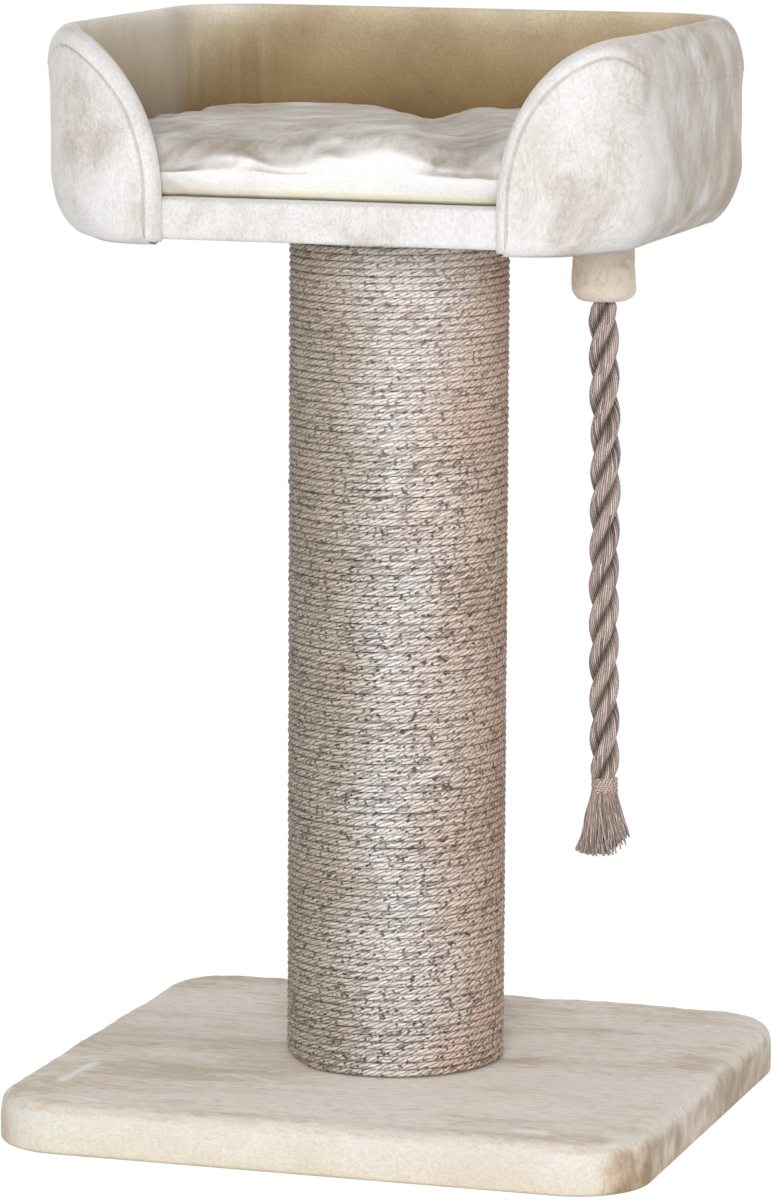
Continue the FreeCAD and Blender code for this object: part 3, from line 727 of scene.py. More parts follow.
@dataclass(frozen=True)
class TwistFinish:
    """Twisted natural fibre: pale ridges, and painted shade in dark pits between the strands.

    fresh is (low, high, share): painted light, a share of the ridge colour that grows with the height in
    metres, lifting the top of the post in the bed's shade. side_shade_tints are colour stops from left to
    right across a post of the given half width, seen from an angle in degrees: painted shade, darker towards
    both sides as seen from that angle, with a warmer tint towards the right.
    """

    name: str
    ridge: tuple
    pit: tuple
    tint: tuple
    strands: float
    lay: float
    patch_scale: float
    bump_depth: float
    tint_share: float = 0.5
    fibre_scale: float = 900.0
    jitter: float = 0.05
    groove: float = 0.5
    dash_low: float = 0.6
    side_shade_tints: tuple = ()
    side_angle: float = -17.0
    half_width: float = 0.1
    ramp_stops: tuple = (0.2, 0.62)
    pits: float = 0.0
    painted_top_light: tuple = ()

    def material(self) -> Material:
        """Builds the finish.

        Returns:
            The material.
        """
        mat, nd, bsdf = new_material(self.name)
        coord = nd.add("ShaderNodeTexCoord").outputs
        place = coord["Object"]
        twist = nd.add("ShaderNodeGroup", node_tree=strand_group(), UV=coord["UV"], Strands=self.strands,
                       Lay=self.lay, Fibre_Scale=self.fibre_scale, Jitter=self.jitter).outputs
        fine = nd.math("MULTIPLY", twist["Fibre"], 0.5)
        mixed = nd.math("ADD", nd.math("MULTIPLY", twist["Ridge"], 0.6), fine)
        # Painted shade: the pit colour darkens the hollows between the strands.
        colour = nd.ramp(mixed, tuple(zip(self.ramp_stops, (self.pit, self.ridge))))
        dash = ((0.0, (self.dash_low * 0.5,) * 3), (0.16, (self.dash_low,) * 3), (0.9, WHITE))
        colour = nd.times(colour, nd.ramp(twist["Dash"], dash))
        # Painted shade: each tube darkens towards its inner side, in the groove between it and its
        # neighbours.
        deep = ((0.42, (1 - self.groove,) * 3), (0.80, WHITE))
        colour = nd.times(colour, nd.ramp(twist["Side"], deep))
        # Painted shade in small dark holes between the fibres.
        if self.pits:
            holes = nd.ramp(nd.noise(place, 240.0, 1.5), ((0.33, (0.10, 0.08, 0.07)), (0.44, WHITE)))
            colour = nd.times(colour, holes, self.pits)
        # Painted light: more of the ridge colour higher up, lifting the top of the post in the bed's shade.
        if self.painted_top_light:
            colour = nd.mix(nd.reach(nd.split(place)[2], *self.painted_top_light), colour, self.ridge)
        patch = nd.ramp(nd.noise(place, self.patch_scale, 4.0, 0.6), ((0.42, (0, 0, 0)), (0.68, WHITE)))
        colour = nd.times(colour, self.tint, nd.math("MULTIPLY", patch, self.tint_share))
        # Painted shade: darker towards both sides of the post as seen from the given angle, warmer at the
        # right.
        if self.side_shade_tints:
            turn = (0, 0, math.radians(self.side_angle))
            turned = nd.add("ShaderNodeMapping", Vector=place, Rotation=turn).outputs[0]
            drift = nd.about(nd.noise(place, 12.0, 3.0), 0.09)
            across = nd.math("ADD", nd.split(turned)[0], drift)
            tints = nd.ramp(nd.reach(across, -self.half_width, self.half_width), self.side_shade_tints)
            colour = nd.times(colour, tints)
        nd.put(bsdf, Base_Color=colour, Normal=nd.bump(twist["Height"], 0.8, self.bump_depth), Roughness=0.85,
               Specular_IOR_Level=0.2, Sheen_Weight=0.15)
        return mat


@dataclass(frozen=True)
class GrainFinish:
    """Timber, board or paper: long grain, fine pores and a matte surface."""

    name: str
    light: tuple
    dark: tuple
    stretch: tuple
    scale: float
    roughness: float = 0.75

    def material(self) -> Material:
        """Builds the finish.

        Returns:
            The material.
        """
        mat, nd, bsdf = new_material(self.name)
        coord = nd.add("ShaderNodeTexCoord").outputs["Object"]
        grain = nd.noise(coord, self.scale, 6.0, 0.65, self.stretch)
        speck = nd.noise(coord, self.scale * 9, 2.0, 0.6)
        colour = nd.ramp(grain, ((0.3, self.dark), (0.7, self.light)))
        pores = nd.ramp(speck, ((0.35, (0.55, 0.5, 0.45)), (0.6, WHITE)))
        nd.put(bsdf, Base_Color=nd.times(colour, pores, 0.35), Roughness=self.roughness,
               Normal=nd.bump(nd.math("ADD", grain, speck), 0.3, 0.0004))
        return mat


@dataclass(frozen=True)
class ZincFinish:
    """Zinc-plated steel: cloudy spangle, worn roughness."""

    name: str
    colour: tuple

    def material(self) -> Material:
        """Builds the finish.

        Returns:
            The material.
        """
        mat, nd, bsdf = new_material(self.name)
        cloud = nd.noise(nd.add("ShaderNodeTexCoord").outputs["Object"], 240.0, 4.0, 0.6)
        dull = tuple(c * 0.75 for c in self.colour)
        nd.put(bsdf, Base_Color=nd.ramp(cloud, ((0.3, dull), (0.7, self.colour))), Metallic=1.0,
               Roughness=nd.scaled(cloud, 0.3, 0.22))
        return mat


# Base


def carried(outline: tuple, profile: np.ndarray) -> np.ndarray:
    """A profile carried round an outline.

    Args:
        outline: the outline's points and outward normals in plan.
        profile: rows of (inset, z).

    Returns:
        Rows by points of the outline by three.
    """
    out, nrm = outline
    return raised(out[None] - profile[:, :1, None] * nrm[None], profile[:, 1:])


@dataclass
class PlushBase:
    """The plush over the base board, with its rounded edge and turned-under hem. Sizes in millimetres.

    inner_side is (inset, z) of the cover's inner face, and lumps are layers of wave noise. Each of the
    patches is (x, y, half width, half depth, share), of the stroke lines (x, y, end x, end y, half width) and
    of the crease lines (x, y, degrees, length, half width, height).
    """

    half_w: float = 302.5
    half_d: float = 285.0
    corner: float = 70.0
    height: float = 47.0
    top_round: float = 16.0
    foot_round: float = 5.0
    hem: float = 50.0
    post_clear: float = 104.0
    around: int = 420
    rings: int = 60
    inner_side: tuple = ((3.4, 3.4), (3.2, 30.0), (6.5, 42.0), (14.0, 43.6))
    lumps: tuple = ((0.9, 120, 3), (0.45, 34, 4), (0.25, 12, 5))
    patches: tuple = ((185, -80, 110, 60, 0.42), (-215, 40, 60, 90, 0.35), (-60, -190, 120, 40, 0.25))
    stroke_lines: tuple = ((-256, -210, -249, -112, 5.5), (-238, -246, -188, -262, 8.0),
                           (178, -250, 222, -249, 9.0), (-150, 180, -60, 190, 6.0))
    crease_lines: tuple = ((-258, -226, 62, 60, 5, 2.2), (-236, -246, 48, 40, 4, 1.6),
                           (-272, -196, 75, 50, 5, 1.5), (172, -262, 12, 36, 4, 1.3),
                           (230, -240, -40, 44, 5, 1.2))

    def rows(self) -> np.ndarray:
        """Profile from the hem's inner edge under the board, out, up the side and over the edge.

        Quarter circles round the foot and the top edge; straight runs join them.

        Returns:
            Rows of (inset, z).
        """
        a = np.linspace(0, QUARTER, 9)
        b = np.linspace(0, QUARTER, 13)
        r = self.top_round
        lip = np.array([[self.hem, 3.3], [self.hem + 0.4, 1.8]])
        hem = np.stack([np.linspace(self.hem, self.foot_round + 3, 14), np.zeros(14)], 1)
        foot = np.stack([self.foot_round * (1 - np.sin(a)), self.foot_round * (1 - np.cos(a))], 1)
        side = np.stack([np.zeros(7), np.linspace(self.foot_round, self.height - r, 9)[1:-1]], 1)
        top = np.stack([r * (1 - np.cos(b)), self.height - r + r * np.sin(b)], 1)
        return np.vstack([lip, hem, foot, side, top])

    def build(self, finish: Material) -> Object:
        """Builds the cover: the profile round the rounded outline, then rings that shrink to the centre.

        Small waves lift the surface along its normal, and a few drawn creases run in from the front corners.

        Args:
            finish: plush material.

        Returns:
            The cover.
        """
        outline = rounded_outline(self.half_w, self.half_d, self.corner, self.around)
        nrm = outline[1]
        shell = carried(outline, self.rows())
        share = (1 - np.linspace(0, 1, self.rings)[1:])[:, None, None]
        skin = np.concatenate([shell, raised(shell[-1:, :, :2] * share, self.height)])
        inner = carried(outline, np.array(self.inner_side))
        roof = raised(inner[-1:, :, :2] * np.array([0.7, 0.3, 0.0])[:, None, None], self.inner_side[-1][1])
        up = smooth((skin[..., 2] - 4) / 30)
        lift = wave_sum(skin, self.lumps) * up
        clear = smooth((np.linalg.norm(skin[..., :2], axis=-1) - self.post_clear) / 26)
        flat = smooth((skin[..., 2] - 40) / 6)
        skin[..., 2] += lift * flat * clear - 0.4 * flat
        skin[..., :2] += (np.clip(lift, -1, 1) * ((1 - flat) * up))[..., None] * nrm[None]
        skin[..., 2] += self.creases(skin) * flat
        pts = np.concatenate([roof[::-1], inner[::-1], skin])
        obj = grid_object("base_plush", pts, wrap_cols=True)
        paint(obj, "tone", self.tone(pts, nrm))
        weld(obj)
        obj.data.materials.append(finish)
        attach(obj, Body.STAND.value)
        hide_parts("base_cover")
        return obj

    def tone(self, p: np.ndarray, nrm: np.ndarray) -> np.ndarray:
        """Tone of the plush: 0 is the pale front, 1 the top, more the right side as painted shade, less the
        brushed strokes and the painted highlight along the top edge.

        Args:
            p: rows by points of the outline by three.
            nrm: the outline's normals.

        Returns:
            One number for each point.
        """
        z = p[..., 2]
        flat = smooth((z - 35) / 9)
        facing = 0.92 * (1 - smooth((-nrm[:, 1] - 0.55) / 0.35))[None]
        # Painted highlight: a pale line along the rounded top edge, where the nap turns over.
        lip = bell(z - 43.2, 2.2) * (0.5 + 0.35 * wave_noise(p, 26, 8))
        # Painted shade: the right side, strongly lit by the key lamp, is darkened below its rounded top edge,
        # mottled.
        right = smooth((nrm[:, 0] - 0.45) / 0.3)[None] * (1 - smooth((z - 30) / 13))
        right = np.clip(right * (0.75 + 0.35 * wave_noise(p, 30, 9)), 0, 1)
        tone = (np.maximum(flat, facing) + 1.1 * right) * (1 - np.clip(1.3 * lip, 0, 1))
        for x, y, wide, deep, share in self.patches:
            tone = tone * (1 - share * bell(p[..., 0] - x, wide) * bell(p[..., 1] - y, deep))
        marks = self.marks(p)
        return tone * (1 - np.clip(marks, 0, 1)) - 0.6 * marks

    def marks(self, p: np.ndarray) -> np.ndarray:
        """Pale strokes where the nap was brushed up: a bell across each stroke, soft at its ends.

        Args:
            p: points.

        Returns:
            Strength of the strokes.
        """
        pale = np.zeros(p.shape[:-1])
        for x0, y0, x1, y1, wide in self.stroke_lines:
            run = math.hypot(x1 - x0, y1 - y0)
            along, across = along_across(p, x0, y0, ((x1 - x0) / run, (y1 - y0) / run))
            pale += bell(across, wide) * smooth(along / run * 5) * smooth((1 - along / run) * 5)
        return pale

    def creases(self, p: np.ndarray) -> np.ndarray:
        """Soft ridges: a bell across each crease line, fading out along it.

        Args:
            p: points.

        Returns:
            Height of the creases.
        """
        lift = np.zeros(p.shape[:-1])
        for x, y, degrees, run, wide, tall in self.crease_lines:
            angle = math.radians(degrees)
            along, across = along_across(p, x, y, (math.cos(angle), math.sin(angle)))
            lift += tall * bell(across, wide) * bell(along, run / 2)
        return lift


# Post


@dataclass
class SisalPost:
    """Sisal rope wound close from the base to the bed. Sizes in millimetres, the start's angle in radians."""

    radius: float = 96.95
    rope: float = 6.0
    low: float = 47.4
    high: float = 814.6
    start: float = -2.2
    turns: int = 119
    per_turn: int = 84
    sides: int = 9
    fibres: int = 9000
    fibre_reach: float = 2.6

    def build(self, finish: Material) -> Object:
        """Builds the winding: a circle carried along a helix, its pitch and depth a little uneven.

        Args:
            finish: sisal material.

        Returns:
            The winding.
        """
        half = self.rope / 2
        t = np.linspace(0, self.turns, self.turns * self.per_turn + 1)
        pitch = (self.high - self.low - self.rope) / self.turns
        ang = TURN * t + self.start
        place = np.stack([t * 40, np.sin(ang) * 30, np.cos(ang) * 30], 1)
        z = self.low + half + pitch * t + 0.16 * wave_noise(place, 55, 11)
        z = np.clip(z, self.low + half, self.high - half)
        rad = self.radius + 0.25 * wave_noise(place, 38, 12)
        line = np.stack([rad * np.cos(ang), rad * np.sin(ang), z], 1)
        thick = half * (1.06 + 0.05 * wave_noise(place, 12, 13))
        length = t * TURN * self.radius * MM
        obj = tube_object("sisal_winding", line, (level_ways(ang), UP), thick, length, self.sides)
        obj.data.materials.append(finish)
        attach(obj, Body.STAND.value)
        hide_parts("sisal_bottom_turns", "sisal_sleeve", "sisal_top_turns")
        return obj

    def fuzz(self, finish: Material) -> Object:
        """Loose sisal fibres: thin three-cornered slivers that lean off the winding's surface.

        Args:
            finish: fibre material.

        Returns:
            The fibres.
        """
        count = self.fibres
        rng = np.random.default_rng(21)
        out = level_ways(rng.uniform(0, TURN, count))
        z = rng.uniform(self.low + 4, self.high - 8, count)
        root = out * (self.radius + self.rope * 0.36) + z[:, None] * UP
        lean = rng.normal(size=(count, 3))
        lean[:, 2] *= 0.8
        lean += np.cross(UP, out) * rng.choice([-1.4, 1.4], count)[:, None]
        lean -= out * (lean * out).sum(1, keepdims=True) * 0.8
        lean += out * rng.uniform(0.1, 0.7, (count, 1))
        lean = unit(lean)
        tip = root + lean * rng.uniform(2.5, 7.5, (count, 1))
        over = np.linalg.norm(tip[:, :2], axis=1) - (self.radius + self.rope / 2 + self.fibre_reach)
        tip[:, :2] -= out[:, :2] * np.clip(over, 0, None)[:, None]
        wide = unit(np.cross(lean, out)) * rng.uniform(0.10, 0.2, (count, 1))
        verts = np.stack([root - wide, root + wide, tip], 1).reshape(-1, 3)
        obj = mesh_object("sisal_fibres", verts, np.arange(3 * count).reshape(-1, 3))
        obj.data.materials.append(finish)
        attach(obj, Body.STAND.value)
        return obj


# Bed


@dataclass
class WallSheet:
    """The bed's wall laid flat: rows go over its thickness and columns along it. Sizes in millimetres."""

    along: np.ndarray
    z: np.ndarray
    off: np.ndarray
    inside: np.ndarray
    seam: np.ndarray
    whole: float

    def places(self, upright: float = 1.0) -> np.ndarray:
        """Places to read noise at, with the height pressed by a share so that the noise stands upright."""
        return np.stack([self.along, self.z * upright, self.off * 3], -1)

    def to_end(self) -> np.ndarray:
        """Length along the wall to its nearer end."""
        return np.minimum(self.along, self.whole - self.along)


@dataclass
class SofaBed:
    """The padded wall of the bed and its platform. Sizes in millimetres.

    Each of the lining's folds is (length from the left arm's end, lean, ridge, valley).
    """

    half_w: float = 283.0
    half_d: float = 227.0
    corner: float = 100.0
    bottom: float = 815.0
    platform: float = 851.0
    rim: float = 1000.0
    thick: float = 28.0
    opening: float = 153.5
    arm_run: float = 111.5
    foot_in: float = 37.0
    foot_rise: float = 62.0
    foot_front: float = 11.0
    wall_low: float = 810.5
    rim_fall: float = 46.0
    edge_round: float = 9.0
    rim_in: float = 9.0
    seam_steps: tuple = (0.9, 1.7, 2.4, 3.0, 3.6, 4.3, 5.4)
    fold_top: float = 985.0
    fold_mid: float = 920.0
    folds: tuple = ((450.0, -0.10, 3.2, 1.6), (505.0, 0.0, 6.8, 4.4), (537.0, 0.10, 5.4, 3.0))
    front_face: float = -209.7
    board_in: float = 24.0
    board_corner: float = 62.0

    def middle_line(self, at: np.ndarray) -> tuple[np.ndarray, np.ndarray]:
        """The wall's middle line from the right arm's end round the back to the left arm's end, by length.

        Straight front, quarter circle, side, quarter circle and back on one half; the other half mirrors it.

        Args:
            at: distances along the line.

        Returns:
            Points and outward normals in plan.
        """
        half = self.thick / 2
        r = self.corner - half
        cx = self.half_w - self.corner
        cy = self.half_d - self.corner
        q = np.linspace(0, QUARTER, 60)
        first = np.stack([np.sin(q), -np.cos(q)], 1)
        second = np.stack([np.cos(q), np.sin(q)], 1)
        pts = np.vstack([[[self.opening, -self.half_d + half]], [cx, -cy] + r * first, [cx, cy] + r * second,
                         [[0, self.half_d - half]]])
        nrm = np.vstack([[[0.0, -1.0]], first, second, [[0, 1.0]]])
        flip = np.array([-1.0, 1.0])
        pts = np.vstack([pts, pts[::-1][1:] * flip])
        nrm = np.vstack([nrm, nrm[::-1][1:] * flip])
        run = run_along(pts)
        return read_along(at, run, pts), unit(read_along(at, run, nrm))

    def whole_run(self) -> float:
        """Length of the middle line: two straight fronts, four quarter circles, two sides and the back.

        Returns:
            The length.
        """
        r = self.corner - self.thick / 2
        cx = self.half_w - self.corner
        cy = self.half_d - self.corner
        return 2 * ((cx - self.opening) + QUARTER * r + 2 * cy + QUARTER * r + cx)

    def edge_line(self) -> tuple[np.ndarray, np.ndarray, np.ndarray]:
        """The wall's free edge in the sheet: up the arm's end, along the arm's quarter ellipse and the rim.

        Returns:
            Edge points as (length, z), inward normals, and the foot length below each edge point.
        """
        whole = self.whole_run()
        r = self.corner - self.thick / 2
        cx = self.half_w - self.corner
        up = np.stack([np.zeros(10), np.linspace(self.wall_low + 3, self.platform, 11)[:-1]], 1)
        t = np.linspace(0, QUARTER, 74)
        x = self.opening + self.arm_run * (1 - np.cos(t))
        bent = cx - self.opening + r * np.arcsin(np.clip((x - cx) / r, 0, 1))
        along = np.where(x <= cx, x - self.opening, bent)
        arm = np.stack([along, self.platform + (self.rim - self.platform) * np.sin(t)], 1)
        end = along[-1]
        rim = np.linspace(end, whole - end, 190)[1:-1]
        half = np.vstack([up, arm])
        other = half[::-1] * [-1, 1] + [whole, 0]
        line = np.vstack([half, np.stack([rim, np.full(len(rim), self.rim)], 1), other])
        tan = unit(np.gradient(line, axis=0))
        nrm = np.stack([tan[:, 1], -tan[:, 0]], 1)
        step = run_along(half)
        start = 5.0
        near_foot = start + (end - start) * (step / step[-1]) ** 1.15
        foot = np.concatenate([near_foot, rim, whole - near_foot[::-1]])
        return line, nrm, foot

    def sheet(self) -> WallSheet:
        """Lays the wall out flat.

        From the free edge both faces swell by a quarter ellipse. The outer face runs down and curls under by
        another at its foot; the inner face runs down to the platform. A sewn groove follows the arms' edges a
        little outside them.

        Returns:
            The sheet, from the outer face's foot over the edge to the inner face's foot.
        """
        half = self.thick / 2
        line, nrm, foot = self.edge_line()
        whole = self.whole_run()
        broad = smooth((np.minimum(line[:, 0], whole - line[:, 0]) - 80) / 90)
        round_out = self.edge_round + (self.rim_fall + 1.0 - self.edge_round) * broad
        round_in = half - 5.0 * broad
        crest = -self.rim_in * broad
        step = np.array(self.seam_steps)[::-1, None]
        rise = np.linspace(0, QUARTER, 10)[1:, None]
        fall = np.linspace(0, QUARTER, 10)[::-1, None]

        def inward(by: np.ndarray) -> np.ndarray:
            """The edge moved into the wall's face."""
            return line + nrm * by[..., None]

        outer_top = inward(round_out + self.seam_steps[-1])
        inner_top = inward(round_in)
        outer_foot = np.stack([foot, np.full(len(foot), self.wall_low)], 1)
        inner_foot = np.stack([foot, np.minimum(self.platform - 3, inner_top[:, 1] - 0.5)], 1)
        outer = outer_top + (outer_foot - outer_top) * np.linspace(1, 0, 34)[:-1, None, None]
        inner = inner_top + (inner_foot - inner_top) * np.linspace(0, 1, 30)[1:, None, None]
        place = np.concatenate([outer, inward(round_out + step), inward(round_out * (1 - np.cos(fall))),
                                inward(round_in * (1 - np.cos(rise))), inner])
        groove = (2.2 - 1.7 * broad) * bell(step - 3.0, 0.9)
        bulge = (1.3 - 1.0 * broad) * bell(step - 0.6, 1.6)
        swell = (0.9 - 0.7 * broad) * np.sin(fall) ** 6
        off = np.concatenate([np.full(outer.shape[:2], half), half - groove + bulge,
                              crest + (half - crest) * np.sin(fall) + swell,
                              crest - (half + crest) * np.sin(rise), np.full(inner.shape[:2], -half)])
        along, z = place[..., 0], place[..., 1]
        sewn = slice(len(outer), len(outer) + len(step))
        inside = np.zeros((len(place), 1), dtype=int)
        inside[sewn.stop + len(fall):] = 1
        # A darker line along the seam on the arms: the stitched seam and painted shade in its groove.
        seam = np.zeros(along.shape)
        seam[sewn] = 0.42 * bell(step - 3.6, 1.4) * (1 - broad)
        full = smooth((np.minimum(foot, whole - foot) - 10) / 110)
        foot_in = self.foot_front + (self.foot_in - self.foot_front) * full
        foot_rise = self.foot_front + (self.foot_rise - self.foot_front) * full
        drop = np.clip((self.wall_low + foot_rise - z) / foot_rise, 0, 1)
        curl = foot_in * (1 - np.sqrt(1 - drop ** 2))
        curled = np.maximum(off - curl * np.clip(off / half, 0, 1), -half - 14)
        return WallSheet(along, z, np.where(inside, off, curled), inside, seam, whole)

    def from_fold(self, sheet: WallSheet, at: float, lean: float) -> np.ndarray:
        """Distance along the wall from a fold of the lining that leans to one side."""
        return sheet.along - (sheet.whole - at) - lean * (sheet.z - self.fold_mid)

    def folded(self, sheet: WallSheet) -> np.ndarray:
        """Where the lining's folds show: under the rim, inside."""
        return smooth((self.fold_top - sheet.z) / 40) * sheet.inside

    def wall_lift(self, sheet: WallSheet) -> np.ndarray:
        """Soft waves of both faces, a crease by the right arm's foot and the lining's folds.

        Args:
            sheet: the wall laid flat.

        Returns:
            How far each place moves outwards.
        """
        flat = sheet.places()
        outer = 0.9 * wave_noise(flat, 90, 31) + 0.5 * wave_noise(flat, 32, 32)
        outer -= 1.8 * (bell(sheet.z - 838 - 0.08 * sheet.along, 3.2) * bell(sheet.along - 52, 34))
        inner = 1.0 * wave_noise(flat, 110, 33) + 0.6 * wave_noise(sheet.places(0.25), 42, 34)
        under_rim = self.folded(sheet)
        for at, lean, ridge, valley in self.folds:
            gap = self.from_fold(sheet, at, lean)
            inner += ridge * bell(gap, 6) * under_rim
            inner -= valley * bell(gap - 9, 5) * under_rim
        soft = smooth((np.abs(sheet.off) - 4) / 10)
        return np.where(sheet.inside, -inner, outer) * soft

    def wall_tone(self, sheet: WallSheet) -> np.ndarray:
        """Tone of the wall: painted light on the lining's lit side and painted light and shade on its folds;
        outside, painted shade in streaks and patches where the wall turns away from the front, and the seam.

        Args:
            sheet: the wall laid flat.

        Returns:
            One number for each place, 0 to 1.
        """
        outside = 1 - sheet.inside
        # Painted light: the lining turns paler on the bed's left side, which faces the lamp.
        lit_from = sheet.whole - 545 - 1.1 * (sheet.z - 935)
        tone = smooth((sheet.along - lit_from) / 160) * sheet.inside
        under_rim = self.folded(sheet)
        # Painted light on the ridges of the lining's folds and painted shade in their valleys.
        for at, lean, _, _ in self.folds:
            gap = self.from_fold(sheet, at, lean)
            tone += (0.20 * bell(gap + 3, 5) - 0.30 * bell(gap - 8, 5)) * under_rim
        # Outside: painted shade along the sides and back, where the wall turns away from the front, broken by
        # streaks and random patches.
        side = smooth((sheet.to_end() - 105) / 80) * outside
        far = smooth((sheet.to_end() - 250) / 130) * outside
        streak = 0.5 + 0.42 * wave_noise(sheet.places(0.6), 44, 35)
        streak += 0.30 * wave_noise(sheet.places(0.7), 17, 37)
        patch = outside * smooth(wave_noise(sheet.places(), 75, 36) - 0.35)
        mottled_shade = side * (0.12 + 0.66 * streak) + 0.32 * far + 0.3 * patch
        return np.clip(tone + mottled_shade + sheet.seam, 0, 1)

    def build_wall(self, plush: Material, lining: Material) -> Object:
        """Builds the wall: its sheet is lifted by waves and folds, and bent along the middle line.

        Args:
            plush: outside finish.
            lining: inside finish.

        Returns:
            The wall.
        """
        sheet = self.sheet()
        off = sheet.off + self.wall_lift(sheet)
        lean = 1.4 * (sheet.z - self.rim) / (self.rim - self.bottom)
        plan, way = self.middle_line(sheet.along)
        pts = raised(plan + way * (off + np.where(sheet.inside, 0, lean))[..., None], sheet.z)
        rows, cols = pts.shape[:2]
        zone = np.repeat(sheet.inside, cols - 1, 1)
        zone[-1] = 0
        obj = grid_object("bed_wall", pts, wrap_rows=True, zone=zone)
        paint(obj, "tone", self.wall_tone(sheet))
        close_side(obj, rows, cols)
        obj.data.materials.append(plush)
        obj.data.materials.append(lining)
        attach(obj, Body.STAND.value)
        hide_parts("wall_outer_cover", "wall_lining")
        return obj

    def build_platform(self, finish: Material) -> Object:
        """Builds the platform's plush: a rounded slab whose front face stands between the arms.

        A profile with a quarter circle at its top and foot is carried round the outline; rings shrink to the
        middle.

        Args:
            finish: plush material.

        Returns:
            The platform cover.
        """
        back = self.half_d - self.board_in
        half_d = (back - self.front_face) / 2
        centre = np.array([0, (back + self.front_face) / 2])
        out, nrm = rounded_outline(self.half_w - self.board_in, half_d, self.board_corner, 360)
        edge = 5.0
        foot = 13.0 + (edge - 13.0) * smooth((-nrm[:, 1] - 0.9) / 0.1)
        a = np.linspace(0, QUARTER, 8)[:, None]
        low_in = foot * (1 - np.sin(a))
        low_z = self.bottom + foot * (1 - np.cos(a))
        top_in = np.broadcast_to(edge * (1 - np.cos(a)), low_in.shape)
        top_z = np.broadcast_to(self.platform - edge + edge * np.sin(a), low_z.shape)
        side_z = low_z[-1] + (top_z[0] - low_z[-1]) * np.linspace(0, 1, 7)[1:-1, None]
        inset = np.vstack([low_in, np.zeros(side_z.shape), top_in])
        ring = raised(out[None] - inset[..., None] * nrm[None], np.vstack([low_z, side_z, top_z]))
        ring[..., 1] += centre[1]
        share = np.linspace(1, 0, 34)[1:, None, None]
        top = raised(centre + (ring[-1:, :, :2] - centre) * share, self.platform)
        under = raised(centre + (ring[:1, :, :2] - centre) * share[::-1], self.bottom)
        pts = np.concatenate([under, ring, top])
        bump = 0.6 * wave_noise(pts, 70, 41) + 0.3 * wave_noise(pts, 22, 42)
        side = smooth((pts[..., 2] - self.bottom - 3) / 6) * smooth((self.platform - 3 - pts[..., 2]) / 6)
        pts[..., :2] += (bump * side)[..., None] * nrm[None]
        obj = grid_object("platform_plush", pts, wrap_cols=True)
        weld(obj)
        obj.data.materials.append(finish)
        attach(obj, Body.STAND.value)
        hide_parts("bed_board_cover")
        return obj


# Cushion


